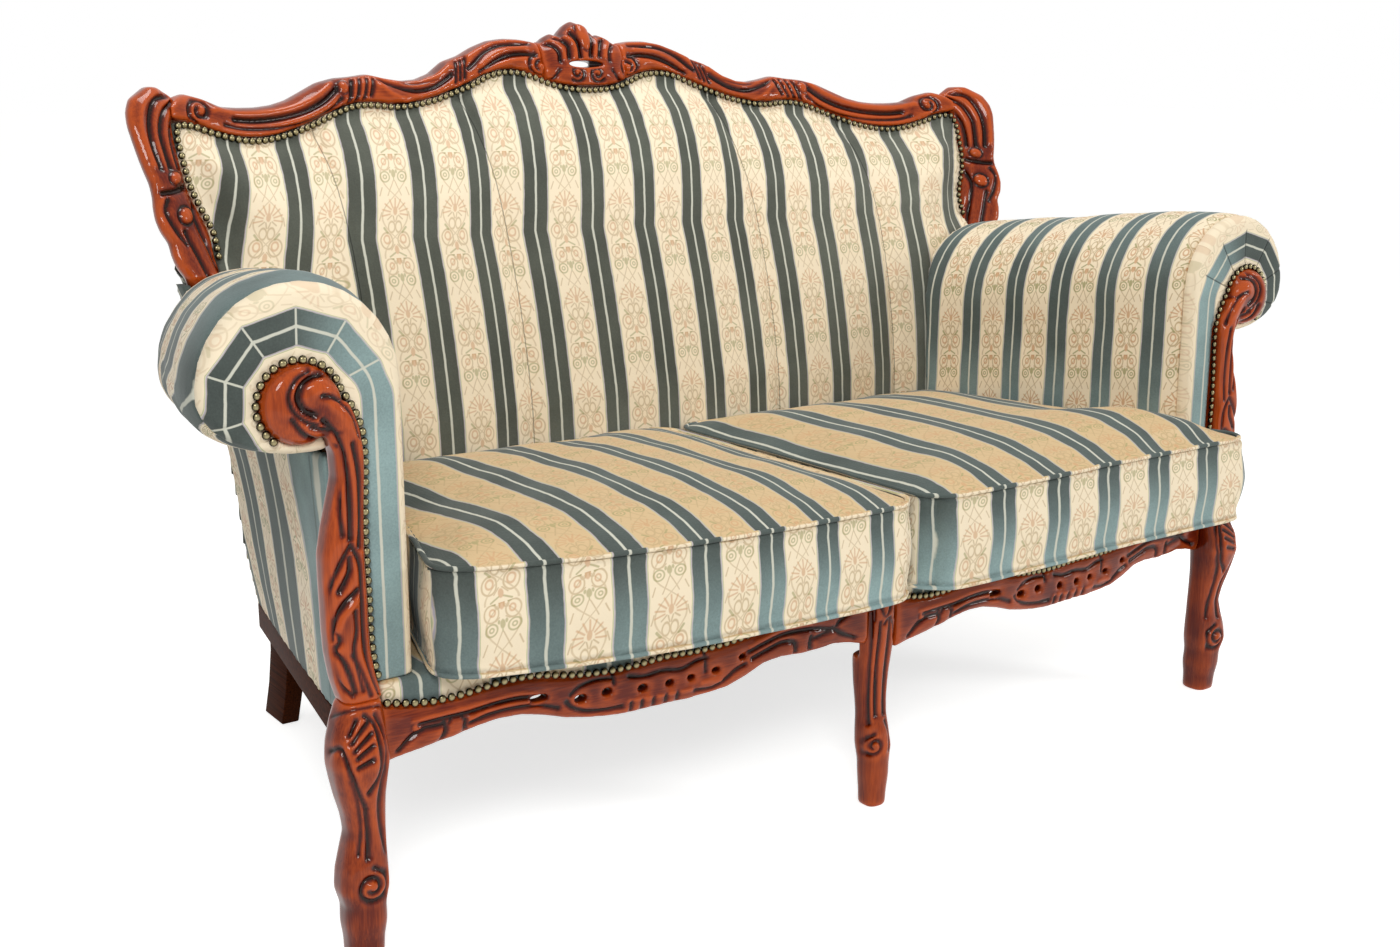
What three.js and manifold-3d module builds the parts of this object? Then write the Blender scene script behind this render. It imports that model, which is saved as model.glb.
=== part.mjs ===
// A two-seat show-wood sofa: carved cabriole legs, pierced aprons, rolled arms and a scrolled back frame.
// Millimetres, +Z up, +X to the right from the front, the front faces -Y. The origin is the middle of the
// footprint, on the floor.

import * as THREE from 'three';
import { mergeVertices } from 'three/addons/utils/BufferGeometryUtils.js';
import Module from 'manifold-3d';

const wasm = await Module();
wasm.setup();

// Driving sizes of the whole sofa. Depths run back from the middle of the outer front feet.
const frontFootSpacing = 1440;
const rearFootSpacing = 1052;
const rearFootDepth = 729;
const seatFrameDepth = 700;
const crestHeight = 1036;
const gap = 0.3;
const overrun = 5;

// Front legs, up to the joint above the knee
const legHeight = 298;
const legHalfWidth = 33;
const legHalfDepth = 25;

// Centre leg: its foot stands forward of the outer feet
const centreLegForward = 20;
const centreLegHeight = 296;
const centreLegHalfWidth = 24.5;
const centreLegHalfDepth = 25;

// Rear legs: plain planks that rake back to the floor
const rearLegThickness = 27;
const rearLegDepth = 69;
const rearLegRake = 42;

// Arm posts: an S-shaped board that ends in a comma scroll
const postHalfWidth = 23;
const postDepth = 42;
const postFront = -22;
const postInset = 8;
const voluteRadius = 42;
const voluteRise = 326;
const voluteOutward = 50;

// Seat frame
const sideRailThickness = 30;
const sideRailLip = 38;
const sideRailFrontBottom = 228;
const sideRailRearBottom = 158;
const sideRailFrontOuter = 728;
const sideRailRearOuter = 563;
const seatFrameTop = 296;
const frontRailHeight = 34;
const frontRailThickness = 24;
const backRailThickness = 28;
const bearerHalfWidth = 17;
const cornerBlockReach = 62;
const cornerBlockHeight = 34;

// Aprons: pierced boards, bowed forward at the middle
const apronThickness = 22;
const apronHeight = 81;
const apronBottom = 214;
const apronBow = 45;
const apronEndForward = 4;
const apronEndInset = 31;

// Webbing, deck and dust cover
const strapCount = 7;
const strapWidth = 50;
const strapThickness = 2.4;
const strapPitch = 145;
const deckThickness = 12;
const deckLipThickness = 12;
const deckRear = 600;
const dustCoverThickness = 1.5;

// Rolled arms
const rollRadius = 120;
const rollFrontInset = 11;
const rollTaper = 90;
const rollUnderShare = 0.62;
const rollFrontX = 758;
const rollFrontHeight = 640;
const rollRearX = 641;
const rollRearHeight = 592;
const rollRearDepth = 450;
const armPanelThickness = 56;
const facingFront = -2;
const facingEdge = 13;
const armRailHeight = 40;
const armRailThickness = 18;
const outsidePanelThickness = 12;

// Back: a raked frame whose wings come forward
const backBase = 700;
const backHalfWidth = 749;
const hornDrop = 100;
const crestNailHeight = 936;
const crestNailDepth = 664;
const backRake = THREE.MathUtils.degToRad(22.8);
const wingForward = 85;
const wingX = 690;
const wingPower = 4;
const waistPower = 0.85;
const woodProud = 8;
const woodDepth = 44;
const stileDepth = 36;
const stileSetback = 278;
const cartoucheHalfWidth = 73;
const cartoucheProud = 8;
const piercingHalfWidth = 33;
const piercingHalfHeight = 6;
const piercingRiseShare = 271 / 336;
const uprightSpacing = 480;
const uprightWidth = 34;
const uprightThickness = 22;
const crossRailHeight = 50;
const crossRailThickness = 24;
const crossRailBottom = 340;
const backPadSeatDepth = 448;
const backPadSeatHeight = 460;
const backPadBulge = 75;
const backPadThickness = 48;
const backPadEdgeThickness = 12;
const backPadRecess = 2;
const backPadPuff = 9;
const innerSeamX = 225;
const outerSeamX = 470;
const seamHalfWidth = 26;
const tackBorder = 16;
const outsideBackThickness = 8;
const panelGap = 1.5;
const softClearance = 9;
const padOverlap = 14;
const padSideGap = 3;
const crestOverlap = 12;

// Nail rows
const nailRowRadius = 3.2;
const nailClearance = 0.8;
const nailStandOff = 1.1;
const nailStart = 26;

// Seat cushions
const cushionThickness = 126;
const cushionCrown = 34;
const cushionCornerDepth = -52;
const cushionFrontBow = 78;
const cushionRearGap = 3;
const cushionSideGap = 4;
const cushionMiddleGap = 4;
const cushionCorner = 46;
const cushionDrawIn = 7;
const weltProud = 5;

// Finishes, from the photograph
const finishes = {
  carvedWood: { color: 0x7a2a14, roughness: 0.25, metalness: 0 },
  plainWood: { color: 0x4a1a10, roughness: 0.35, metalness: 0 },
  innerWood: { color: 0xb58a5c, roughness: 0.8, metalness: 0 },
  stripe: { color: 0xb9b49c, roughness: 0.85, metalness: 0 },
  velvet: { color: 0x58706f, roughness: 0.8, metalness: 0 },
  webbing: { color: 0x3b3a36, roughness: 0.9, metalness: 0 },
  lining: { color: 0x2b2b2b, roughness: 0.95, metalness: 0 },
  brass: { color: 0x8a7446, roughness: 0.4, metalness: 0.9 },
};

// Levels and planes that several pieces share
const halfFootSpacing = frontFootSpacing / 2;
const backRailRear = seatFrameDepth - backRailThickness;
const backRailFront = backRailRear - backRailThickness;
const deckBottom = seatFrameTop + strapThickness + 2 * gap;
const deckTop = deckBottom + deckThickness;
const cushionBottom = deckTop + gap;
const postRear = postFront + postDepth;
const backRise = crestHeight - backBase;
const hornTop = crestHeight - hornDrop;
const piercingHeight = backBase + piercingRiseShare * backRise;
const hornInnerShare = 0.898;
const apronOuterEnd = halfFootSpacing - apronEndInset;

const { lerp } = THREE.MathUtils;
const trianglePoints = 3;

function point(x, y, z) {
  return new THREE.Vector3(x, y, z);
}

// Reads a table whose first column rises, smoothly between its rows
function smoothTable(rows) {
  const places = rows.map((row) => row[0]);
  const values = rows.flatMap((row) => row.slice(1));
  const track = new THREE.CubicInterpolant(places, values, rows[0].length - 1);
  return (place) => Array.from(track.evaluate(place));
}

function evenly(count) {
  return Array.from({ length: count }, (_, index) => index / (count - 1));
}

// Turns the faces of a closed geometry outwards
function facedOut(geometry) {
  const places = geometry.getAttribute('position');
  const index = Array.from(geometry.getIndex().array);
  const corners = [point(0, 0, 0), point(0, 0, 0), point(0, 0, 0)];
  let sixVolumes = 0;
  for (let start = 0; start < index.length; start += trianglePoints) {
    corners.forEach((corner, offset) => corner.fromBufferAttribute(places, index[start + offset]));
    sixVolumes += corners[0].dot(corners[1].clone().cross(corners[2]));
  }
  if (sixVolumes < 0) {
    index.reverse();
  }
  geometry.setIndex(index);
  return geometry;
}

function closedGeometry(points, index) {
  const geometry = new THREE.BufferGeometry().setFromPoints(points);
  geometry.setIndex(index);
  return facedOut(geometry);
}

// Triangles of a ring's end, on the plane that it faces
function capTriangles(ring, offset) {
  const normal = point(0, 0, 0);
  ring.forEach((here, index) => {
    normal.add(here.clone().cross(ring[(index + 1) % ring.length]));
  });
  const turn = new THREE.Quaternion().setFromUnitVectors(normal.normalize(), point(0, 0, 1));
  const flat = ring.map((here) => {
    const turned = here.clone().applyQuaternion(turn);
    return new THREE.Vector2(turned.x, turned.y);
  });
  const faces = THREE.ShapeUtils.triangulateShape(flat, []);
  return faces.map((face) => face.map((corner) => corner + offset));
}

// A closed body through rings of equal point counts
function loft(rings) {
  const sides = rings[0].length;
  const index = [];
  for (let ring = 0; ring < rings.length - 1; ring += 1) {
    for (let side = 0; side < sides; side += 1) {
      const here = ring * sides + side;
      const next = ring * sides + (side + 1) % sides;
      index.push(here, next, here + sides, next, next + sides, here + sides);
    }
  }
  const lastStart = (rings.length - 1) * sides;
  capTriangles(rings[0], 0).forEach(([a, b, c]) => index.push(a, c, b));
  capTriangles(rings[rings.length - 1], lastStart).forEach((face) => index.push(...face));
  return closedGeometry(rings.flat(), index);
}

// A closed body between a front and a back surface, both given on shares across and up
function slab(across, up, front, back) {
  const columns = across.length;
  const rows = up.length;
  const points = [];
  [front, back].forEach((surface) => {
    up.forEach((v) => across.forEach((u) => points.push(surface(u, v))));
  });
  const layer = columns * rows;
  const index = [];
  for (let row = 0; row < rows - 1; row += 1) {
    for (let column = 0; column < columns - 1; column += 1) {
      const here = row * columns + column;
      const over = here + columns;
      index.push(here, here + 1, over, here + 1, over + 1, over);
      index.push(layer + here, layer + over, layer + here + 1);
      index.push(layer + here + 1, layer + over, layer + over + 1);
    }
  }
  const wall = (a, b) => index.push(a, a + layer, b, b, a + layer, b + layer);
  for (let column = 0; column < columns - 1; column += 1) {
    wall(column, column + 1);
    wall(layer - columns + column + 1, layer - columns + column);
  }
  for (let row = 0; row < rows - 1; row += 1) {
    wall((row + 1) * columns, row * columns);
    wall(row * columns + columns - 1, (row + 1) * columns + columns - 1);
  }
  return closedGeometry(points, index);
}

// A ring between two corners of a box section: across and deep are half-size vectors
function ovalRing(centre, across, deep, sides, squareness) {
  return Array.from({ length: sides }, (_, index) => {
    const angle = ((index + 0.5) / sides) * 2 * Math.PI;
    const bend = (value) => Math.sign(value) * Math.abs(value) ** squareness;
    return centre.clone()
      .addScaledVector(across, bend(Math.cos(angle)))
      .addScaledVector(deep, bend(Math.sin(angle)));
  });
}

function levelRing(x0, x1, y0, y1, z, sides, squareness) {
  const centre = point((x0 + x1) / 2, (y0 + y1) / 2, z);
  return ovalRing(centre, point((x1 - x0) / 2, 0, 0), point(0, (y1 - y0) / 2, 0), sides, squareness);
}

function uprightRing(x, y0, y1, z0, z1, sides, squareness) {
  const centre = point(x, (y0 + y1) / 2, (z0 + z1) / 2);
  return ovalRing(centre, point(0, (y1 - y0) / 2, 0), point(0, 0, (z1 - z0) / 2), sides, squareness);
}

// A block through two four-cornered rings
function blockRing(x0, x1, y0, y1, z) {
  return [point(x0, y0, z), point(x1, y0, z), point(x1, y1, z), point(x0, y1, z)];
}

function tubeAlong(points, radius, sides, steps) {
  const section = new THREE.Shape();
  section.absarc(0, 0, radius, 0, 2 * Math.PI, false);
  const extrudePath = new THREE.CatmullRomCurve3(points);
  const settings = { steps, curveSegments: sides, bevelEnabled: false, extrudePath };
  return new THREE.ExtrudeGeometry(section, settings);
}

// Boolean joins and cuts
const weldDistance = 1e-4;

// Drops the triangles that closed up to a line when their corners were welded
function withoutSlivers(geometry) {
  const index = Array.from(geometry.getIndex().array);
  const kept = [];
  for (let start = 0; start < index.length; start += trianglePoints) {
    const [a, b, c] = index.slice(start, start + trianglePoints);
    if (a !== b && b !== c && c !== a) {
      kept.push(a, b, c);
    }
  }
  geometry.setIndex(kept);
  return geometry;
}

function toBody(geometry) {
  const plain = new THREE.BufferGeometry();
  plain.setAttribute('position', geometry.getAttribute('position'));
  plain.setIndex(geometry.getIndex());
  const merged = facedOut(withoutSlivers(mergeVertices(plain, weldDistance)));
  return new wasm.Manifold(new wasm.Mesh({
    numProp: 3,
    vertProperties: Float32Array.from(merged.getAttribute('position').array),
    triVerts: Uint32Array.from(merged.getIndex().array),
  }));
}

function fromBody(body) {
  const mesh = body.getMesh();
  const geometry = new THREE.BufferGeometry();
  geometry.setAttribute('position', new THREE.BufferAttribute(mesh.vertProperties, 3));
  geometry.setIndex(new THREE.BufferAttribute(mesh.triVerts, 1));
  return geometry;
}

function joined(...geometries) {
  return fromBody(geometries.map(toBody).reduce((whole, body) => whole.add(body)));
}

function cut(geometry, ...tools) {
  return fromBody(tools.map(toBody).reduce((whole, body) => whole.subtract(body), toBody(geometry)));
}

function named(name, finish, geometry) {
  const mesh = new THREE.Mesh(geometry, new THREE.MeshStandardMaterial(finishes[finish]));
  mesh.name = name;
  return mesh;
}

const sideNames = { 1: 'right', '-1': 'left' };
const bothSides = [-1, 1];

function forBothSides(build) {
  return bothSides.map((side) => build(side, sideNames[side]));
}

// Plan curves and surfaces that carry the pieces

// Outer face of the side rails: the sofa narrows towards the back
function sideOuterX(depth) {
  return lerp(sideRailFrontOuter, sideRailRearOuter, depth / seatFrameDepth);
}

function sideRailBottomAt(depth) {
  return lerp(sideRailFrontBottom, sideRailRearBottom, depth / seatFrameDepth);
}

function apronFrontAt(x) {
  return -apronEndForward - (apronBow - apronEndForward) * (1 - (x / halfFootSpacing) ** 2);
}

// The fabric's plane in the back frame: raked, with its wings curving forward
function frameFrontAt(x, z) {
  const raked = crestNailDepth + Math.tan(backRake) * (z - crestNailHeight);
  const waist = Math.max(0, (backBase - z) / (backBase - seatFrameTop)) ** waistPower;
  return raked - wingForward * (Math.abs(x) / wingX) ** wingPower + stileSetback * waist;
}

function frameBackAt(x, z) {
  return frameFrontAt(x, z) - woodProud + woodDepth;
}

// Inner and outer faces of the back stiles: shares of the height above the seat frame, then of the half width
const stileShares = [
  [0, 0.728, 0.774], [0.225, 0.761, 0.809], [0.444, 0.821, 0.874], [0.616, 0.87, 0.935],
  [0.666, 0.881, 0.961], [0.702, 0.881, 0.964], [0.733, 0.885, 0.979], [0.764, 0.897, 0.981],
  [0.806, 0.909, 0.977], [0.85, 0.913, 0.987], [0.897, 0.915, 0.995], [0.936, 0.912, 1],
  [0.959, 0.9, 0.996], [0.975, hornInnerShare, 0.989], [0.991, 0.909, 0.972], [1, 0.931, 0.951],
];
const stileBottom = seatFrameTop + gap;
const stileTable = smoothTable(stileShares);

function stileAt(z) {
  const share = THREE.MathUtils.clamp((z - stileBottom) / (hornTop - stileBottom), 0, 1);
  const [inner, outer] = stileTable(share);
  return { inner: inner * backHalfWidth, outer: outer * backHalfWidth };
}

function stileFrontAt(z) {
  return frameFrontAt(stileAt(z).outer, z) - woodProud;
}

function stileBackAt(z) {
  return stileFrontAt(z) + stileDepth;
}

// Lower and upper edges of a crest rail: shares of its half length, then of the rise over the arms
const crestShares = [
  [0.11, 0.735, 0.902], [0.152, 0.768, 0.914], [0.198, 0.78, 0.914], [0.257, 0.762, 0.887],
  [0.289, 0.732, 0.851], [0.321, 0.708, 0.83], [0.351, 0.69, 0.81], [0.385, 0.667, 0.762],
  [0.432, 0.646, 0.732], [0.473, 0.634, 0.729], [0.501, 0.631, 0.738], [0.542, 0.64, 0.756],
  [0.573, 0.643, 0.747], [0.607, 0.631, 0.741], [0.646, 0.604, 0.732], [0.693, 0.568, 0.693],
  [0.744, 0.536, 0.649], [0.79, 0.515, 0.628], [0.844, 0.506, 0.622], [0.908, 0.527, 0.631],
  [0.952, 0.554, 0.67], [0.975, 0.568, 0.679], [1, 0.583, 0.655],
];
const cartoucheShares = [
  [0, 0.702, 1], [0.25, 0.703, 0.97], [0.38, 0.706, 0.93], [0.62, 0.71, 0.942], [0.82, 0.722, 0.908],
  [1, 0.733, 0.9],
];
const crestEnd = hornInnerShare * backHalfWidth - gap;
const crestTable = smoothTable(crestShares);
const cartoucheTable = smoothTable(cartoucheShares);

// Lower edge of the crest and cartouche, where the back's fabric ends
function crestBottomAt(x) {
  const away = Math.abs(x);
  const [bottom] = away < cartoucheHalfWidth
    ? cartoucheTable(away / cartoucheHalfWidth)
    : crestTable(Math.min(away / crestEnd, 1));
  return backBase + bottom * backRise;
}

// Lower and upper edge along an apron: shares of its length from the left end, then of its height
const apronShares = [
  [0, 0.02, 0.88], [0.06, 0.12, 0.79], [0.12, 0.2, 0.78], [0.2, 0.33, 0.86], [0.26, 0.31, 0.87],
  [0.34, 0.12, 0.76], [0.44, 0, 0.7], [0.52, 0.01, 0.75], [0.6, 0.01, 0.73], [0.68, 0.07, 0.77],
  [0.76, 0.32, 0.86], [0.86, 0.3, 0.9], [0.93, 0.34, 0.96], [1, 0.2, 1],
];
const apronTable = smoothTable(apronShares);
const apronInnerEnd = centreLegHalfWidth + gap;
const apronLength = apronOuterEnd - apronInnerEnd;

// Piercings: length share, height share, half length and half height as shares of the apron's height
const piercingShares = [
  [0.28, 0.53, 0.17, 0.065], [0.36, 0.4, 0.11, 0.07], [0.412, 0.42, 0.1, 0.065], [0.484, 0.36, 0.1, 0.065],
  [0.54, 0.35, 0.09, 0.06], [0.586, 0.36, 0.08, 0.06], [0.64, 0.39, 0.09, 0.055], [0.7, 0.5, 0.09, 0.055],
];

// Counts and shape shares of the sections
const frontRailStations = 7;
const apronStations = 25;
const apronSides = 8;
const boardSquareness = 0.55;
const piercingSides = 8;
const piercingSquareness = 0.85;
const deckLipStations = 17;
const deckRoundShare = 0.4;
const deckLipRecess = 2;
const rollSteps = 25;
const postRings = 13;
const postSides = 10;
const voluteSides = 18;
const outsideLean = 8;
const stepShare = 0.01;
const stileRings = 24;
const stileLowerShare = 0.3;
const stileWaistShare = (backBase - stileBottom) / (hornTop - stileBottom);
const stileSides = 10;
const stileSquareness = 0.7;
const crestStations = 24;
const crestSides = 10;
const cartoucheStations = 15;
const lensSides = 12;
const padRollLength = 55;
const padBorderReach = 165;
const padSideRelief = 220;
const settlingTurns = 6;
const outsideBackLap = 22;
const nailArcSteps = 14;
const nailArcStartAngle = THREE.MathUtils.degToRad(-50);
const nailArcEndAngle = THREE.MathUtils.degToRad(165);
const nailRowSides = 3;
const armNailSteps = 40;
const apronNailStations = 16;
const apronNailSteps = 36;
const backNailRises = 10;
const backNailStations = 41;
const backNailSteps = 110;
const outsideBackColumns = 13;
const outsideBackRows = 21;
const outsideArmUnder = 7;
const outsideArmBehind = 4;
const outsideArmRows = 9;
const dustCoverStations = 13;
const dustCoverReach = 655;
const cushionFrontPower = 3;
const cushionCornerSteps = 4;
const cushionSideSteps = 8;
const cushionDrawPower = 6;

const rearLegRakeShares = [[0, 1], [0.35, 0.45], [0.7, 0.1], [1, 0]];
const armStationShares = [0, 0.06, 0.12, 0.2, 0.35, 0.5, 0.75, 1];
const facingEdgeShares = [[1, 0], [0.35, 0.16], [0, 0.55], [0, 1]];
const voluteProfileShares = [[0, 0], [0.6, 0.02], [0.88, 0.14], [1, 0.4]];
const nailStemShares = [0.96, 0.9, 0.8, 0.68, 0.56, 0.44, 0.32, 0.2, 0.12, 0.07];
const padColumnShares = [0, 0.2, 0.39, 0.4536, 0.52, 0.68, 0.87, 0.9476, 1, 1.25, 1.5, 1.8, 2, 3];
const padRowShares = [0, 0.15, 0.3, 0.42, 0.54, 0.64, 0.73, 0.81, 0.88, 0.94, 0.98, 1, 2];

// Post: height share from the joint to the scroll's middle, outward offset and half width shares
const postShares = [
  [0, 0, 1], [0.12, 0.42, 1], [0.38, 0.55, 1.02], [0.51, 0.56, 1], [0.64, 0.32, 0.8], [0.76, 0.06, 0.64],
  [0.86, 0.14, 0.72], [0.93, 0.5, 0.9], [1, 1, 0.9],
];
const postTable = smoothTable(postShares);

// Cushion: height share, crown share, inset share of the half width, how proud the edge stands
const cushionRingShares = [
  [0, 0, 0.05, 1], [0.06, 0, 0, 1], [0.13, 0, 0, 0.2], [0.5, 0, 0, 0.75], [0.88, 0, 0, 0.2], [0.95, 0, 0, 1],
  [1, 0.02, 0.03, 1], [1, 0.42, 0.16, 1], [1, 0.75, 0.36, 1], [1, 0.95, 0.62, 1], [1, 1, 0.85, 1],
];

// Rings crowd together towards the horn, where the outline turns
function stileRingShare(share) {
  const lower = lerp(0, stileWaistShare, share / stileLowerShare);
  const upper = lerp(stileWaistShare, 1, (share - stileLowerShare) / (1 - stileLowerShare));
  return share < stileLowerShare ? lower : upper;
}

// Legs

// Height share, outward offset, forward offset, half width and half depth as shares of the leg's half sizes
const legShares = [
  [0, 0, 0, 0.62, 0.84], [0.12, 0, 0.06, 0.68, 0.92], [0.16, 0, 0.1, 0.76, 1.04], [0.2, 0, 0.12, 0.7, 0.98],
  [0.29, 0.05, 0.2, 0.86, 1.16], [0.4, -0.03, 0.14, 0.78, 1], [0.5, -0.16, 0.12, 0.66, 0.88],
  [0.66, 0, 0.28, 0.82, 1.08], [0.81, 0.06, 0.44, 1, 1.32], [0.9, 0, 0.22, 0.86, 1.16],
  [1, -0.2, 0, 0.7, 0.92],
];
const legRings = 15;
const legSides = 12;
const legSquareness = 0.72;

function cabrioleLeg(shares, height, halfWidth, halfDepth, side) {
  const table = smoothTable(shares);
  return loft(evenly(legRings).map((share) => {
    const [outward, forward, wide, deep] = table(share);
    const centre = point(side * outward * halfWidth, -forward * halfDepth, share * height);
    const across = point(wide * halfWidth, 0, 0);
    return ovalRing(centre, across, point(0, deep * halfDepth, 0), legSides, legSquareness);
  }));
}

function frontLeg(side, sideName) {
  const geometry = cabrioleLeg(legShares, legHeight, legHalfWidth, legHalfDepth, side);
  const mesh = named(`front_leg_${sideName}`, 'carvedWood', geometry);
  mesh.position.set(side * halfFootSpacing, 0, 0);
  return mesh;
}

const centreLegShares = [
  [0, 0, 0.4, 0.65, 0.66], [0.14, 0, 0.44, 0.75, 0.76], [0.17, 0, 0.46, 0.83, 0.84], [0.2, 0, 0.44, 0.76, 0.8],
  [0.3, 0, 0.4, 0.84, 1], [0.42, 0, 0.2, 0.74, 0.8], [0.6, 0, 0.08, 0.86, 0.86],
  [0.8, 0, 0.24, 0.99, 1], [0.9, 0, 0.3, 0.9, 1.06], [1, 0, 0.3, 0.9, 1.06],
];

function centreLeg() {
  const geometry = cabrioleLeg(centreLegShares, centreLegHeight, centreLegHalfWidth, centreLegHalfDepth, 1);
  const rearFace = centreLegForward + apronFrontAt(0) + apronThickness;
  const level = centreLegHeight + apronBottom - overrun;
  const behind = new THREE.BoxGeometry(centreLegHeight, centreLegHalfDepth, 2 * centreLegHeight);
  behind.translate(0, rearFace + centreLegHalfDepth / 2, level);
  const mesh = named('centre_leg', 'carvedWood', cut(geometry, behind));
  mesh.position.set(0, -centreLegForward, 0);
  return mesh;
}

function rearLeg(side, sideName) {
  const half = rearLegThickness / 2;
  const top = sideRailRearBottom - gap;
  const geometry = loft(rearLegRakeShares.map(([rise, rake]) => {
    const rear = rearLegRake * rake;
    return blockRing(-half, half, rear - rearLegDepth, rear, rise * top);
  }));
  const mesh = named(`rear_leg_${sideName}`, 'plainWood', geometry);
  mesh.position.set(side * rearFootSpacing / 2, rearFootDepth + rearLegDepth / 2 - rearLegRake, 0);
  return mesh;
}

// Seat frame

const railStart = legHalfDepth + gap;

function frontRailRearAt(x) {
  return apronFrontAt(x) + apronThickness + gap + frontRailThickness;
}

function sideRail(side, sideName) {
  const ends = [[railStart, railStart], [seatFrameDepth, stileBackAt(stileBottom)]];
  const geometry = loft(ends.map(([depth, topDepth]) => {
    const spot = (inset, atTop, z) => {
      const end = atTop ? topDepth : depth;
      return point(side * (sideOuterX(end) - inset), end, z);
    };
    const step = outsidePanelThickness + gap;
    const lip = sideRailBottomAt(depth) + sideRailLip;
    return [
      spot(sideRailThickness, false, sideRailBottomAt(depth)), spot(0, false, sideRailBottomAt(depth)),
      spot(0, false, lip), spot(step, false, lip), spot(step, true, seatFrameTop),
      spot(sideRailThickness, true, seatFrameTop),
    ];
  }));
  return named(`side_rail_${sideName}`, 'plainWood', geometry);
}

function railInnerX(depth) {
  return sideOuterX(depth) - sideRailThickness - gap;
}

function backRail() {
  const front = railInnerX(backRailFront);
  const rear = railInnerX(backRailRear);
  const geometry = loft([sideRailRearBottom, seatFrameTop].map((z) => [
    point(-front, backRailFront, z), point(front, backRailFront, z), point(rear, backRailRear, z),
    point(-rear, backRailRear, z),
  ]));
  return named('back_rail', 'innerWood', geometry);
}

function frontRail(side, sideName) {
  const end = railInnerX(frontRailRearAt(apronOuterEnd));
  const geometry = loft(evenly(frontRailStations).map((share) => {
    const x = lerp(gap / 2, end, share);
    const rear = frontRailRearAt(x);
    const front = rear - frontRailThickness;
    const bottom = seatFrameTop - frontRailHeight;
    return [
      point(side * x, front, bottom), point(side * x, rear, bottom),
      point(side * x, rear, seatFrameTop), point(side * x, front, seatFrameTop),
    ];
  }));
  return named(`front_rail_${sideName}`, 'innerWood', geometry);
}

function seatBearer() {
  const front = frontRailRearAt(bearerHalfWidth) + gap;
  const rear = backRailFront - gap;
  const levels = [seatFrameTop - frontRailHeight, seatFrameTop];
  const geometry = loft(levels.map((z) => blockRing(-bearerHalfWidth, bearerHalfWidth, front, rear, z)));
  return named('seat_bearer', 'innerWood', geometry);
}

function cornerBlock(side, sideName, end) {
  const isFront = end === 'front';
  const edgeAt = (x) => (isFront ? frontRailRearAt(x) + gap : backRailFront - gap);
  const corner = edgeAt(apronOuterEnd);
  const outer = railInnerX(corner);
  const inner = outer - cornerBlockReach;
  const tip = corner + (isFront ? cornerBlockReach : -cornerBlockReach);
  const tipX = railInnerX(tip);
  const outline = (z) => [
    point(side * outer, corner, z), point(side * inner, edgeAt(inner), z), point(side * tipX, tip, z),
  ];
  const geometry = loft([outline(seatFrameTop - cornerBlockHeight), outline(seatFrameTop)]);
  return named(`corner_block_${end}_${sideName}`, 'innerWood', geometry);
}

// Aprons

// The same pattern runs from left to right on both aprons, so it isn't mirrored
function apronX(side, share) {
  return side < 0 ? lerp(-apronOuterEnd, -apronInnerEnd, share) : lerp(apronInnerEnd, apronOuterEnd, share);
}

function apronTopAt(x) {
  const side = x < 0 ? -1 : 1;
  const share = (x - apronX(side, 0)) / apronLength;
  const [, top] = apronTable(THREE.MathUtils.clamp(share, 0, 1));
  return apronBottom + top * apronHeight;
}

function apron(side, sideName) {
  const body = loft(evenly(apronStations).map((share) => {
    const x = apronX(side, share);
    const [bottom] = apronTable(share);
    const front = apronFrontAt(x);
    const low = apronBottom + bottom * apronHeight;
    return uprightRing(x, front, front + apronThickness, low, apronTopAt(x), apronSides, boardSquareness);
  }));
  const piercings = piercingShares.map(([place, rise, halfLength, halfHeight]) => {
    const x = apronX(side, place);
    const across = point(halfLength * apronHeight, 0, 0);
    const up = point(0, 0, halfHeight * apronHeight);
    return loft([-overrun, apronThickness + overrun].map((depth) => {
      const centre = point(x, apronFrontAt(x) + depth, apronBottom + rise * apronHeight);
      return ovalRing(centre, across, up, piercingSides, piercingSquareness);
    }));
  });
  return named(`apron_${sideName}`, 'carvedWood', cut(body, ...piercings));
}

// Webbing, deck and dust cover

function seatStrap(index) {
  const x = (index - (strapCount - 1) / 2) * strapPitch;
  const half = strapWidth / 2;
  const front = apronFrontAt(Math.max(Math.abs(x) - half, 0)) + apronThickness + gap;
  const bottom = seatFrameTop + gap;
  const levels = [bottom, bottom + strapThickness];
  const start = front + frontRailThickness / 2;
  const geometry = loft(levels.map((z) => blockRing(-half, half, start, backRailRear - overrun, z)));
  const mesh = named(`seat_strap_${index + 1}`, 'webbing', geometry);
  mesh.position.set(x, 0, 0);
  return mesh;
}

function seatDeck() {
  const start = postRear + gap;
  const sideX = (depth) => sideOuterX(depth) - outsidePanelThickness - 2 * gap;
  const platform = loft([deckBottom, deckTop].map((z) => [
    point(-sideX(start), start, z), point(sideX(start), start, z),
    point(sideX(deckRear), deckRear, z), point(-sideX(deckRear), deckRear, z),
  ]));
  const lipEnd = apronOuterEnd - 2 * gap;
  const round = deckThickness * deckRoundShare;
  const half = evenly(deckLipStations).map((share) => lerp(apronInnerEnd, lipEnd, share));
  const rightHalf = [apronInnerEnd - gap, ...half];
  const lip = loft([...rightHalf.map((x) => -x).reverse(), ...rightHalf].map((x) => {
    const front = apronFrontAt(x) + deckLipRecess;
    const bottom = Math.abs(x) < apronInnerEnd ? centreLegHeight + gap : apronTopAt(x) + gap;
    return [
      point(x, front, bottom), point(x, front, deckTop - round), point(x, front + round, deckTop),
      point(x, start + overrun, deckTop), point(x, start + overrun, deckBottom),
      point(x, front + deckLipThickness, deckBottom), point(x, front + deckLipThickness, bottom),
    ];
  }));
  return named('seat_deck', 'stripe', joined(platform, lip));
}

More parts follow.
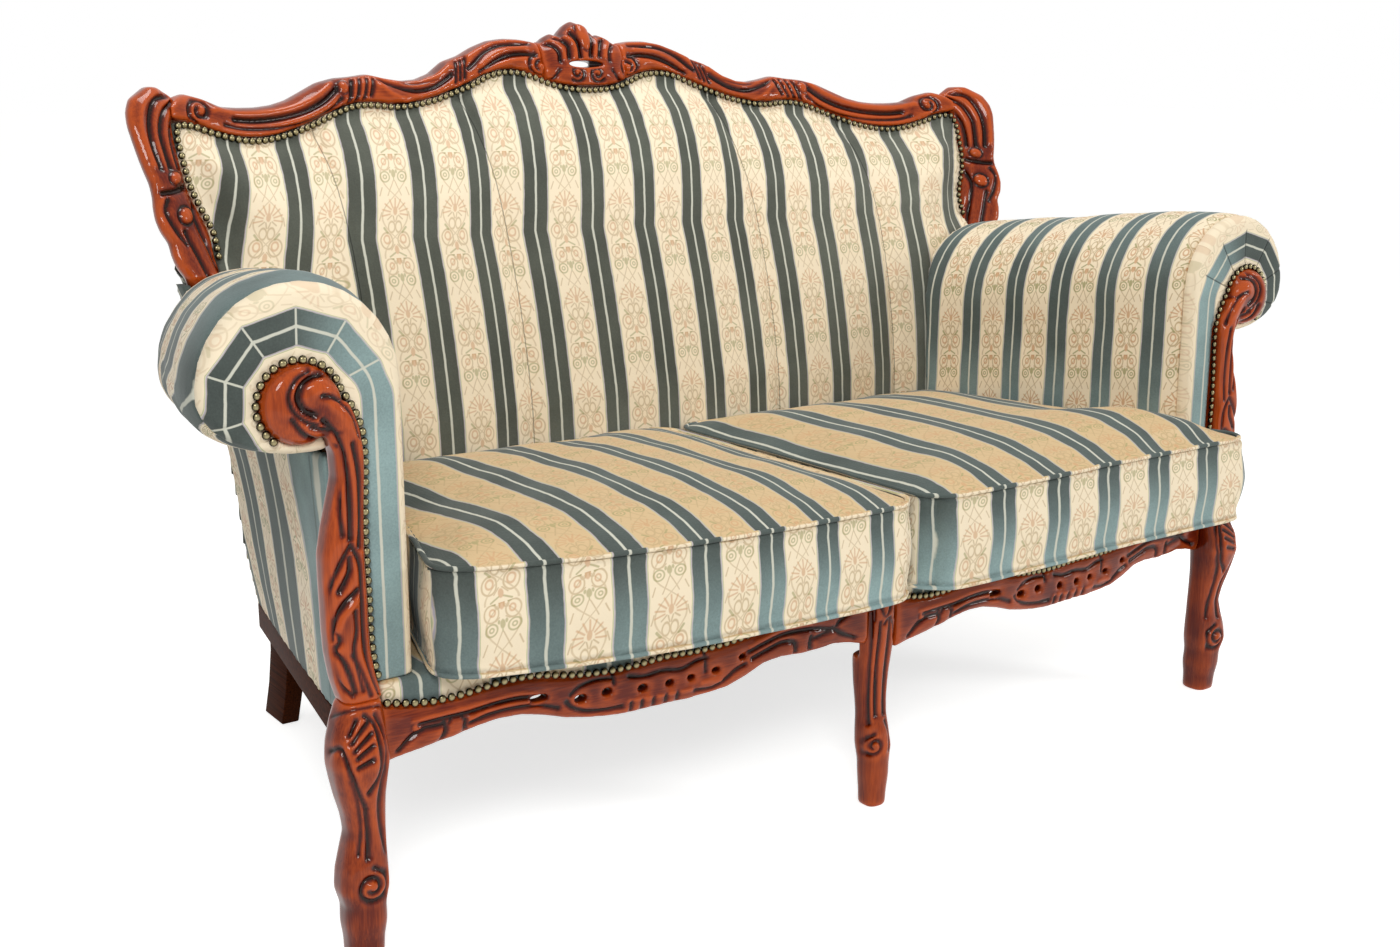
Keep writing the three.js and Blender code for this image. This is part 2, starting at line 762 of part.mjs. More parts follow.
function dustCover() {
  const sideSlope = (sideRailFrontOuter - sideRailRearOuter) / seatFrameDepth;
  const under = frontRailThickness / 2;
  const geometry = loft(evenly(dustCoverStations).map((share) => {
    const x = lerp(-dustCoverReach, dustCoverReach, share);
    const front = frontRailRearAt(x) - under;
    const besideRail = (railInnerX(0) - Math.abs(x)) / sideSlope;
    const rear = Math.min(backRailFront - gap, besideRail);
    const topAt = (depth) => {
      const along = (depth - frontRailRearAt(0)) / (backRailFront - frontRailRearAt(0));
      const share = THREE.MathUtils.clamp(along, 0, 1);
      return lerp(seatFrameTop - frontRailHeight, sideRailRearBottom, share) - gap;
    };
    const frontTop = topAt(frontRailRearAt(x));
    return [
      point(x, front, frontTop), point(x, front, frontTop - dustCoverThickness),
      point(x, rear, topAt(rear) - dustCoverThickness), point(x, rear, topAt(rear)),
    ];
  }));
  return named('dust_cover', 'lining', geometry);
}

// Arms

function rollCentreX(depth) {
  return lerp(rollFrontX, rollRearX, depth / rollRearDepth);
}

function rollCentreZ(depth) {
  return lerp(rollFrontHeight, rollRearHeight, depth / rollRearDepth);
}

function rollUndersideAt(depth) {
  return rollCentreZ(depth) - rollUnderShare * rollRadius;
}

// Section of an arm: an upright inner panel that rolls over into a scroll, drawn up tight underneath
function armSection(depth, inset, panelThickness) {
  const centreX = rollCentreX(depth);
  const centreZ = rollCentreZ(depth);
  const radius = rollRadius - inset;
  const panelX = centreX - rollRadius + panelThickness - inset;
  const endAngle = -Math.acos((panelX - centreX) / radius);
  const arc = evenly(rollSteps).map((share) => {
    const angle = lerp(Math.PI, endAngle, share);
    const rise = Math.sin(angle) * (angle < 0 ? rollUnderShare : 1);
    return [centreX + radius * Math.cos(angle), centreZ + radius * rise];
  });
  const bottom = deckTop + gap;
  return [[centreX - radius, bottom], ...arc, [panelX, bottom]];
}

// The arm ends against the back pad, and beside it against the stile
function armEndAt(x, z) {
  const againstPad = backPadFrontAt(Math.min(x, padHalfWidthAt(z)), z) - softClearance;
  const againstStile = stileFrontAt(backBase) - gap;
  return Math.min(againstPad, againstStile);
}

function armPad(side, sideName) {
  const start = postRear + gap;
  const end = backPadSeatDepth - softClearance;
  const rings = armStationShares.map((share) => {
    const depth = lerp(start, end, share);
    const inset = rollFrontInset * Math.max(0, 1 - (depth - start) / rollTaper) ** 2;
    const section = armSection(depth, inset, armPanelThickness);
    return section.map(([x, z]) => point(side * x, lerp(start, armEndAt(x, z), share), z));
  });
  return named(`arm_pad_${sideName}`, 'stripe', loft(rings));
}

// Each row is an inset share and a depth share of the facing's rounded edge
function armFacing(side, sideName) {
  const depthOf = (share) => lerp(facingFront, postRear, share);
  const panelThickness = armPanelThickness + postHalfWidth;
  const plate = loft(facingEdgeShares.map(([inset, depth]) => {
    const section = armSection(postRear, rollFrontInset + inset * facingEdge, panelThickness);
    return section.map(([x, z]) => point(side * x, depthOf(depth), z));
  }));
  return named(`arm_facing_${sideName}`, 'velvet', cut(plate, postGeometry(side, gap)));
}

// The pad's sections are spread back to the stile, so a depth falls on an earlier section
function panelOuterAt(depth) {
  const start = postRear + gap;
  const end = backPadSeatDepth - softClearance;
  const panelX = (section) => rollCentreX(section) - rollRadius + armPanelThickness;
  const last = armEndAt(panelX(end), rollUndersideAt(end));
  return panelX(lerp(start, end, (depth - start) / (last - start)));
}

// The rail runs from the post past the back pad's edge to the stile
function armRail(side, sideName) {
  const front = postRear + gap;
  const frontTop = rollUndersideAt(front) - gap;
  const rearTop = rollUndersideAt(rollRearDepth) - gap;
  const frontInner = rollCentreX(front) - rollRadius + armPanelThickness + gap;
  const rearInner = Math.max(padHalfWidthAt(rearTop), panelOuterAt(rollRearDepth)) + gap;
  const endTop = rollUndersideAt(stileFrontAt(rearTop)) - gap;
  const ring = (inner, top, depthAt) => {
    const spot = (x, z) => point(side * x, depthAt(z), z);
    const outer = inner + armRailThickness;
    const bottom = top - armRailHeight;
    return [spot(inner, bottom), spot(outer, bottom), spot(outer, top), spot(inner, top)];
  };
  const geometry = loft([
    ring(frontInner, frontTop, () => front),
    ring(rearInner, rearTop, () => rollRearDepth),
    ring(rearInner, endTop, (z) => stileFrontAt(z) - gap),
  ]);
  return named(`arm_rail_${sideName}`, 'innerWood', geometry);
}

// Arm posts

function postEdgesAt(share) {
  const [outward, wide] = postTable(share);
  const centre = halfFootSpacing - postInset + outward * postHalfWidth;
  return { inner: centre - wide * postHalfWidth, outer: centre + wide * postHalfWidth };
}

const postBottom = legHeight + gap;
const voluteX = halfFootSpacing - postInset + voluteOutward;
const voluteZ = postBottom + voluteRise;

function postGeometry(side, grow) {
  const front = postFront - grow;
  const rear = postRear + grow;
  const stem = loft(evenly(postRings).map((share) => {
    const { inner, outer } = postEdgesAt(share);
    const left = side * (inner - grow);
    const right = side * (outer + grow);
    const z = postBottom + share * voluteRise - (share === 0 ? grow : 0);
    return levelRing(left, right, front, rear, z, postSides, boardSquareness);
  }));
  const radius = voluteRadius + grow;
  const profile = voluteProfileShares.map(([out, along]) => new THREE.Vector2(out * radius, along * radius));
  profile.push(new THREE.Vector2(radius, rear - front), new THREE.Vector2(0, rear - front));
  const volute = new THREE.LatheGeometry(profile, voluteSides);
  volute.translate(side * voluteX, front, voluteZ);
  return joined(stem, volute);
}

function armPost(side, sideName) {
  return named(`arm_post_${sideName}`, 'carvedWood', postGeometry(side, 0));
}

// Outside arm panel: it stands on the side rail's lip, passes under the roll and rises behind it
function lowShare(z) {
  const lipTop = sideRailRearBottom + sideRailLip;
  return THREE.MathUtils.clamp((stileBottom - z) / (stileBottom - lipTop), 0, 1);
}

function cornerDepthAt(z) {
  return lerp(stileBackAt(Math.max(z, stileBottom)), seatFrameDepth, lowShare(z)) + gap;
}

function outsideArmX(depth, z) {
  const lean = THREE.MathUtils.clamp((z - stileBottom) / (backBase - stileBottom), 0, 1);
  const front = sideOuterX(railStart) + lean * outsideLean;
  const rear = lerp(stileAt(z).outer + outsidePanelThickness + gap, sideRailRearOuter, lowShare(z));
  const share = THREE.MathUtils.clamp((depth - railStart) / (cornerDepthAt(z) - railStart), 0, 1);
  return lerp(front, rear, share);
}

function outsideArm(side, sideName) {
  const start = railStart + gap;
  const rollEnd = stileFrontAt(backBase);
  const behindStart = rollEnd + overrun;
  const surface = (drop) => (u, v) => {
    const behind = u - 1;
    const footDepth = u > 1 ? lerp(behindStart, seatFrameDepth, behind) : lerp(start, rollEnd, u);
    const low = sideRailBottomAt(footDepth) + sideRailLip + gap;
    const high = u > 1 ? backBase - overrun : rollUndersideAt(footDepth) - gap;
    const z = lerp(low, high, v);
    const depth = u > 1 ? lerp(behindStart, cornerDepthAt(z), behind) : footDepth;
    return point(side * (outsideArmX(depth, z) - drop), depth, z);
  };
  const behindShares = evenly(outsideArmBehind).map((share) => 1 + Math.max(share, stepShare));
  const across = [...evenly(outsideArmUnder), ...behindShares];
  const geometry = slab(across, evenly(outsideArmRows), surface(0), surface(outsidePanelThickness));
  return named(`outside_arm_${sideName}`, 'stripe', geometry);
}

// Back frame

function stileGeometry(side, grow) {
  return loft(evenly(stileRings).map((share) => {
    const z = lerp(stileBottom, hornTop, stileRingShare(share));
    const { inner, outer } = stileAt(z);
    const frontInner = frameFrontAt(inner, z) - woodProud;
    const frontOuter = frameFrontAt(outer, z) - woodProud;
    const centre = point(side * (inner + outer) / 2, (frontInner + frontOuter + stileDepth) / 2, z);
    const across = point(side * ((outer - inner) / 2 + grow), (frontOuter - frontInner) / 2, 0);
    return ovalRing(centre, across, point(0, stileDepth / 2 + grow, 0), stileSides, stileSquareness);
  }));
}

function backStile(side, sideName) {
  return named(`back_stile_${sideName}`, 'carvedWood', stileGeometry(side, 0));
}

// A section of the crest: it leans back with the frame
function crestRing(x, bottom, top, proud, grow) {
  const middle = (bottom + top) / 2;
  const front = frameFrontAt(x, middle) - woodProud - proud;
  const depth = lerp(woodDepth, stileDepth, Math.min(Math.abs(x) / crestEnd, 1) ** wingPower);
  const rear = frameFrontAt(x, middle) - woodProud + depth;
  const up = point(0, Math.tan(backRake), 1).multiplyScalar((top - bottom) / 2 + grow);
  const deep = point(0, (rear - front) / 2 + grow, 0);
  return ovalRing(point(x, (front + rear) / 2, middle), deep, up, crestSides, boardSquareness);
}

function crestGeometry(side, grow) {
  const start = cartoucheHalfWidth + gap - grow;
  return loft(evenly(crestStations).map((share) => {
    const x = lerp(start, crestEnd + crestOverlap, share);
    const [bottom, top] = crestTable(Math.min(x / crestEnd, 1));
    return crestRing(side * x, backBase + bottom * backRise, backBase + top * backRise, 0, grow);
  }));
}

function crestRail(side, sideName) {
  const fitted = cut(crestGeometry(side, 0), stileGeometry(side, gap));
  return named(`crest_rail_${sideName}`, 'carvedWood', fitted);
}

function cartoucheGeometry(grow) {
  return loft(evenly(cartoucheStations).map((share) => {
    const place = lerp(-1, 1, share);
    const [bottom, top] = cartoucheTable(Math.abs(place));
    const proud = cartoucheProud * (1 - place ** 2);
    return crestRing(
      place * cartoucheHalfWidth, backBase + bottom * backRise, backBase + top * backRise, proud, grow,
    );
  }));
}

function crestCartouche() {
  const front = frameFrontAt(0, piercingHeight);
  const piercing = loft([front - woodDepth, front + 2 * woodDepth].map((depth) => {
    const across = point(piercingHalfWidth, 0, 0);
    const up = point(0, 0, piercingHalfHeight);
    return ovalRing(point(0, depth, piercingHeight), across, up, lensSides, 1);
  }));
  return named('crest_cartouche', 'carvedWood', cut(cartoucheGeometry(0), piercing));
}

const crossRailEnd = stileAt(crossRailBottom).inner - gap;

function crossRailFrontAt(z) {
  return frameFrontAt(stileAt(z).inner, z) - woodProud + (stileDepth - crossRailThickness) / 2;
}

function backUpright(side, sideName) {
  const half = uprightWidth / 2;
  const outer = uprightSpacing / 2 + half;
  const top = crestBottomAt(outer) - 2 * overrun;
  const bottomFront = crossRailFrontAt(crossRailBottom) + crossRailThickness + gap;
  const topRear = frameBackAt(outer, top) + overrun;
  const ends = [[bottomFront + uprightThickness, seatFrameTop + gap], [topRear, top]];
  const geometry = loft(ends.map(([rear, z]) => blockRing(-half, half, rear - uprightThickness, rear, z)));
  const mesh = named(`back_upright_${sideName}`, 'innerWood', geometry);
  mesh.position.set(side * uprightSpacing / 2, 0, 0);
  return mesh;
}

function backCrossRail() {
  const levels = [crossRailBottom, crossRailBottom + crossRailHeight];
  const geometry = loft(levels.map((z) => {
    const front = crossRailFrontAt(z);
    return blockRing(-crossRailEnd, crossRailEnd, front, front + crossRailThickness, z);
  }));
  return named('back_cross_rail', 'innerWood', geometry);
}

// Back pad: its edge lies in the wood frame, its face bulges and is drawn in at four seams

function padHalfWidthAt(z) {
  return stileAt(z).inner;
}

function padFullness(distance) {
  return 1 - Math.exp(-Math.max(0, distance - tackBorder) / padRollLength);
}

function padBaseAt(x, z) {
  const top = crestBottomAt(x);
  const share = THREE.MathUtils.clamp((z - backPadSeatHeight) / (top - backPadSeatHeight), 0, 1);
  const ruled = lerp(backPadSeatDepth, frameFrontAt(x, top) + backPadRecess, share);
  const besideEdge = (distance) => 1 - THREE.MathUtils.smoothstep(distance, tackBorder, padBorderReach);
  const aboveArm = THREE.MathUtils.smoothstep(z, backBase - padRollLength, backBase);
  const atSide = besideEdge(padHalfWidthAt(z) - Math.abs(x)) * aboveArm;
  const atFrame = frameFrontAt(x, Math.max(z, backBase)) + backPadRecess;
  return { base: lerp(ruled, atFrame, Math.max(atSide, besideEdge(top - z))), share };
}

function backPadFrontAt(x, z) {
  const { base, share } = padBaseAt(x, z);
  const aboveArm = THREE.MathUtils.smoothstep(z, backBase - padRollLength, backBase);
  const sideDistance = padHalfWidthAt(z) - Math.abs(x) + (1 - aboveArm) * padSideRelief;
  const fullness = padFullness(Math.min(sideDistance, crestBottomAt(x) - gap - z));
  const seams = [innerSeamX, outerSeamX].map((seam) => {
    return Math.exp(-(((Math.abs(x) - seam) / seamHalfWidth) ** 2));
  });
  const drawn = backPadPuff * Math.max(...seams);
  return base - fullness * (backPadBulge * (1 - (1 - share) ** 2) - drawn);
}

// Shares up to 1 reach the outer seams, up to 2 the tacked border; 3 lies under the wood
function padColumnAt(share, z) {
  const away = Math.abs(share);
  const seam = outerSeamX + seamHalfWidth;
  const border = padHalfWidthAt(z) - tackBorder;
  const aboveArm = THREE.MathUtils.smoothstep(z, backBase - padRollLength, backBase);
  const edge = padHalfWidthAt(z) + lerp(-padSideGap, padOverlap, aboveArm);
  const beyondSeam = away > 2 ? edge : lerp(seam, border, away - 1);
  return Math.sign(share) * (away > 1 ? beyondSeam : away * seam);
}

function padSpot(column, row) {
  const bottom = deckTop + gap;
  const levelAt = (x) => {
    const top = crestBottomAt(x);
    return row > 1 ? top + padOverlap : lerp(bottom, top - tackBorder, row);
  };
  let z = levelAt(0);
  // The column's place depends on the height and the height on the place, so they settle in turn
  for (let turn = 0; turn < settlingTurns; turn += 1) {
    z = levelAt(padColumnAt(column, z));
  }
  return [padColumnAt(column, z), z];
}

function backPad() {
  const front = (column, row) => {
    const [x, z] = padSpot(column, row);
    return point(x, backPadFrontAt(x, z), z);
  };
  const back = (column, row) => {
    const [x, z] = padSpot(column, row);
    const { base, share } = padBaseAt(x, z);
    return point(x, base + lerp(backPadThickness, backPadEdgeThickness, share), z);
  };
  const columns = [...padColumnShares.slice(1).reverse().map((share) => -share), ...padColumnShares];
  const stiles = bothSides.map((side) => stileGeometry(side, gap));
  const rails = bothSides.map((side) => crestGeometry(side, gap));
  const fitted = cut(slab(columns, padRowShares, front, back), ...stiles, ...rails, cartoucheGeometry(gap));
  return named('back_pad', 'stripe', fitted);
}

function outsideBack() {
  const bottom = sideRailRearBottom + 2 * gap;
  const wrap = outsidePanelThickness + gap;
  const outerAt = (z) => {
    const { outer } = stileAt(z);
    return z > backBase ? outer - wrap : lerp(outer + wrap, sideRailRearOuter - gap, lowShare(z));
  };
  // The cloth is stretched straight from the seat frame to the crest
  const crestBottom = crestBottomAt(0);
  const stretchedAt = (z) => {
    const rise = THREE.MathUtils.clamp((z - seatFrameTop) / (crestBottom - seatFrameTop), 0, 1);
    return lerp(seatFrameDepth, frameBackAt(0, crestBottom), rise);
  };
  const surface = (thickness) => (u, v) => {
    const z = lerp(bottom, crestBottomAt(u * crestEnd) + outsideBackLap, v);
    const middle = Math.max(stretchedAt(z), frameBackAt(0, z));
    const stileRear = frameFrontAt(outerAt(z), z) - woodProud + stileDepth + gap;
    const corner = z > backBase ? stileRear : cornerDepthAt(z);
    const depth = lerp(middle, corner, Math.abs(u) ** wingPower) + panelGap;
    return point(u * outerAt(z), depth + thickness, z);
  };
  const across = evenly(outsideBackColumns).map((share) => Math.sin(lerp(-1, 1, share) * Math.PI / 2));
  const geometry = slab(across, evenly(outsideBackRows), surface(0), surface(outsideBackThickness));
  return named('outside_back', 'stripe', geometry);
}

// Nail rows

function armNailRow(side, sideName) {
  const reach = nailRowRadius + nailClearance;
  const depth = facingFront - gap - nailRowRadius;
  const around = evenly(nailArcSteps).map((share) => {
    const angle = lerp(nailArcStartAngle, nailArcEndAngle, share);
    const radius = voluteRadius + reach;
    return point(side * (voluteX + radius * Math.cos(angle)), depth, voluteZ + radius * Math.sin(angle));
  });
  const down = nailStemShares.map((share) => {
    return point(side * (postEdgesAt(share).inner - reach), depth, postBottom + share * voluteRise);
  });
  const geometry = tubeAlong([...around, ...down], nailRowRadius, nailRowSides, armNailSteps);
  return named(`nail_row_arm_${sideName}`, 'brass', geometry);
}

function apronNailRow(side, sideName) {
  const points = evenly(apronNailStations).map((share) => {
    const x = side * lerp(apronInnerEnd + overrun, apronOuterEnd - overrun, share);
    const depth = apronFrontAt(x) + deckLipRecess - gap - nailRowRadius;
    return point(x, depth, apronTopAt(x) + nailRowRadius + nailClearance);
  });
  const geometry = tubeAlong(points, nailRowRadius, nailRowSides, apronNailSteps);
  return named(`nail_row_apron_${sideName}`, 'brass', geometry);
}

function backNailRow() {
  const reach = nailRowRadius + nailClearance;
  const spot = (x, z) => point(x, frameFrontAt(x, z) + backPadRecess - nailStandOff - nailRowRadius, z);
  const corner = crestEnd - reach;
  const cornerZ = crestBottomAt(corner) - reach;
  const climb = evenly(backNailRises).map((share) => lerp(backBase + nailStart, cornerZ - overrun, share));
  const left = climb.map((z) => spot(-stileAt(z).inner + reach, z));
  const right = climb.map((z) => spot(stileAt(z).inner - reach, z)).reverse();
  const over = evenly(backNailStations).map((share) => {
    const x = lerp(-corner + overrun, corner - overrun, share);
    return spot(x, crestBottomAt(x) - reach);
  });
  const geometry = tubeAlong([...left, ...over, ...right], nailRowRadius, nailRowSides, backNailSteps);
  return named('nail_row_back', 'brass', geometry);
}

// Seat cushions

// Points round a square of half size 1 with rounded corners
function roundedSquare(corner) {
  const turns = [0, 1, 2, 3];
  return turns.flatMap((turn) => {
    const start = turn * Math.PI / 2;
    const arc = evenly(cushionCornerSteps).map((share) => {
      const angle = start + share * Math.PI / 2;
      const [signX, signY] = [[1, 1], [-1, 1], [-1, -1], [1, -1]][turn];
      const x = signX * (1 - corner) + corner * Math.cos(angle);
      const y = signY * (1 - corner) + corner * Math.sin(angle);
      return [x, y];
    });
    const [endX, endY] = arc[arc.length - 1];
    const side = evenly(cushionSideSteps).slice(1, -1).map((share) => {
      const along = lerp(1 - corner, corner - 1, share);
      return turn % 2 === 0 ? [along * Math.sign(endX || 1), endY] : [endX, along * Math.sign(endY || 1)];
    });
    return [...arc, ...side];
  });
}

const armFaceX = rollFrontX - rollRadius;

function cushionFrontAt(x) {
  const share = Math.min(Math.abs(x) / armFaceX, 1);
  return cushionCornerDepth - cushionFrontBow * (1 - share ** cushionFrontPower);
}

// A point of the cushion: across and along run from -1 to 1, recess is measured in from the welt
function cushionPoint(side, across, along, shrink, recess, z) {
  const rearEdge = backPadSeatDepth - cushionRearGap;
  const halfDepth = (rearEdge - cushionCornerDepth) / 2;
  const halfWidth = armFaceX / 2;
  const a = across * (1 - shrink) * (1 - recess / halfWidth);
  const b = along * (1 - shrink) * (1 - recess / halfDepth);
  const depth = lerp(cushionCornerDepth, rearEdge, (b + 1) / 2);
  const outer = rollCentreX(depth) - rollRadius - cushionSideGap;
  const nearSide = Math.sign(across) * Math.abs(across) ** cushionDrawPower;
  const drawnSide = cushionDrawIn * (1 - along ** 2) * nearSide;
  const x = lerp(cushionMiddleGap / 2, outer, (a + 1) / 2) - drawnSide;
  const drawnRear = cushionDrawIn * (1 - across ** 2) * Math.max(along, 0) ** cushionDrawPower;
  return point(side * x, lerp(cushionFrontAt(x), rearEdge, (b + 1) / 2) - drawnRear, z);
}

function seatCushion(side, sideName) {
  const outline = roundedSquare(2 * cushionCorner / armFaceX);
  const rings = cushionRingShares.map(([rise, crown, shrink, proud]) => {
    const z = cushionBottom + rise * cushionThickness + crown * cushionCrown;
    const recess = weltProud * (1 - proud);
    return outline.map(([across, along]) => cushionPoint(side, across, along, shrink, recess, z));
  });
  return named(`seat_cushion_${sideName}`, 'stripe', loft(rings));
}

// The sofa

const seatGroup = new THREE.Group();
seatGroup.add(
  ...forBothSides(frontLeg), centreLeg(), ...forBothSides(rearLeg), ...forBothSides(sideRail), backRail(),
  ...forBothSides(frontRail), seatBearer(), ...forBothSides((side, name) => cornerBlock(side, name, 'front')),
  ...forBothSides((side, name) => cornerBlock(side, name, 'rear')), ...forBothSides(apron),
  ...evenly(strapCount).map((_, index) => seatStrap(index)), seatDeck(), dustCover(),
);

const armGroup = new THREE.Group();
armGroup.add(
  ...forBothSides(armPost), ...forBothSides(armRail), ...forBothSides(armPad), ...forBothSides(armFacing),
  ...forBothSides(outsideArm),
);

const backGroup = new THREE.Group();
backGroup.add(
  ...forBothSides(backStile), ...forBothSides(crestRail), crestCartouche(), ...forBothSides(backUpright),
  backCrossRail(), backPad(), outsideBack(),
);

const trimGroup = new THREE.Group();
trimGroup.add(...forBothSides(armNailRow), ...forBothSides(apronNailRow), backNailRow());

const cushionGroup = new THREE.Group();
cushionGroup.add(...forBothSides(seatCushion));

// The footprint runs from the front of the cushions to the rear feet
const frontmost = Math.min(cushionFrontAt(0), -centreLegForward - centreLegHalfDepth);
const rearmost = rearFootDepth + rearLegDepth / 2;

const sofa = new THREE.Group();
sofa.name = 'cabriole_sofa';
sofa.position.set(0, -(frontmost + rearmost) / 2, 0);
sofa.add(seatGroup, armGroup, backGroup, trimGroup, cushionGroup);

export default sofa;
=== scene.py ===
"""Cabriole sofa: a carved, mahogany-stained show frame and striped velvet covers, dressed over its solids."""

import logging
import math
from dataclasses import dataclass
from enum import Enum

import bmesh
import bpy
import numpy as np
from mathutils import Matrix, Vector


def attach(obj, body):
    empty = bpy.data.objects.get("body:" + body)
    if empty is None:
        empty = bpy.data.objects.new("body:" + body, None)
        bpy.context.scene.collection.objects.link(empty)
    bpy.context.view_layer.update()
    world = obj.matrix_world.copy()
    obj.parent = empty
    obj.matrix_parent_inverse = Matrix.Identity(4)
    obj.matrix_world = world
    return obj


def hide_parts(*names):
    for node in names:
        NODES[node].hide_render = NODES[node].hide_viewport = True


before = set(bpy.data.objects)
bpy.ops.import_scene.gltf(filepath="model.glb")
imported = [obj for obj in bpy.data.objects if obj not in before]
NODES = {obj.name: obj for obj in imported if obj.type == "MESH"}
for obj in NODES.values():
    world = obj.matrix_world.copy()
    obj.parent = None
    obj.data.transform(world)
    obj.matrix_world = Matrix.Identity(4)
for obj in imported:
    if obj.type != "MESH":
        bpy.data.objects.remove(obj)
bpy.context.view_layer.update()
LOG = logging.getLogger("sofa")

MM = 0.001
# Depths are counted from the front legs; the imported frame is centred, this far behind them
DEPTH_ZERO = 316.75
# The cloth's stripe period, the repeat of its figures and half the width of a cream band, in mm
PERIOD, REPEAT, CREAM_HALF = 93.0, 136.0, 27.0
# Where the back's channels are sewn, across, and the facings pleated, in degrees from the seat's side
BACK_SEAMS = (-470.0, -225.0, 225.0, 470.0)
PLEATS = (22.0, 55.0, 88.0, 123.0, 158.0, 193.0, 222.0)

Socket = bpy.types.NodeSocket
Tree = bpy.types.NodeTree
Points = np.ndarray


class Side(Enum):
    """The sofa's two ends, by the sign of their X."""

    LEFT = -1
    RIGHT = 1

    @property
    def label(self) -> str:
        """The end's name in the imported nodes."""
        return self.name.lower()


# Colour and shader helpers


def linear(hexa: str) -> tuple[float, float, float, float]:
    """Turns an sRGB hex colour to linear RGBA.

    Args:
        hexa: six hex digits.

    Returns:
        The linear colour with an alpha of 1.
    """
    shares = [int(hexa[i : i + 2], 16) / 255 for i in (0, 2, 4)]
    rgb = [s / 12.92 if s <= 0.04045 else ((s + 0.055) / 1.055) ** 2.4 for s in shares]
    return (rgb[0], rgb[1], rgb[2], 1.0)


def node(tree: Tree, kind: str, *values: object, out: int | str = 0, **settings: object) -> Socket:
    """Adds a shader node with its settings and links.

    Args:
        tree: the material's node tree.
        kind: the node's type without its ShaderNode prefix.
        values: inputs in order, each a socket to link, a value to set, or None to leave.
        out: the output that is handed back.
        settings: properties of the node, or a named input where the node has no such property.

    Returns:
        The chosen output socket.
    """
    made = tree.nodes.new("ShaderNode" + kind)
    named = {}
    for key, value in settings.items():
        if hasattr(made, key):
            setattr(made, key, value)
        else:
            named[key.replace("_", " ")] = value
    for key, value in [*enumerate(values), *named.items()]:
        if isinstance(value, Socket):
            tree.links.new(value, made.inputs[key])
        elif value is not None:
            made.inputs[key].default_value = value
    return made.outputs[out] if len(made.outputs) else None


def maths(tree: Tree, operation: str, *values: object) -> Socket:
    """Returns the outcome of one Math node."""
    return node(tree, "Math", *values, operation=operation)


def most(tree: Tree, first: Socket, *others: Socket) -> Socket:
    """Returns the largest of some numbers."""
    for other in others:
        first = maths(tree, "MAXIMUM", first, other)
    return first


def gap(tree: Tree, first: object, second: object) -> Socket:
    """Returns how far two numbers lie apart."""
    return maths(tree, "ABSOLUTE", maths(tree, "SUBTRACT", first, second))


def mix(tree: Tree, share: object, low: object, high: object) -> Socket:
    """Returns a colour between two, by a share from 0 to 1."""
    return node(tree, "Mix", share, None, None, None, None, None, low, high, data_type="RGBA", out=2)


def scaled(tree: Tree, colour: object, factor: object) -> Socket:
    """Returns a colour or place times a number."""
    return node(tree, "VectorMath", colour, Scale=factor, operation="SCALE")


def noise(tree: Tree, place: Socket, scale: float, detail: float, roughness: float = 0.5) -> Socket:
    """Returns smooth noise from 0 to 1."""
    return node(tree, "TexNoise", place, None, scale, detail, roughness, out="Fac")


def attribute(tree: Tree, name: str) -> Socket:
    """Returns a number that the mesh carries."""
    return node(tree, "Attribute", attribute_name=name, out="Fac")


def material(name: str) -> tuple[bpy.types.Material, Tree]:
    """Makes an empty node material.

    Args:
        name: the finish's name.

    Returns:
        The material and its tree.
    """
    made = bpy.data.materials.new(name)
    made.use_nodes = True
    made.node_tree.nodes.clear()
    return made, made.node_tree


def surface(tree: Tree, colour: Socket, roughness: object, relief: tuple[Socket, float, float],
            **fixed: object) -> None:
    """Closes a material with one Principled shader.

    Args:
        tree: the material's node tree.
        colour: base colour.
        roughness: a number or a socket.
        relief: the bump's height, its strength, and its depth in metres.
        fixed: further inputs, which are set on the shader's own sockets.
    """
    height, strength, depth = relief
    bump = node(tree, "Bump", Strength=strength, Distance=depth, Height=height)
    shader = node(tree, "BsdfPrincipled", colour, None, roughness, Normal=bump, **fixed)
    node(tree, "OutputMaterial", shader)


# Finishes


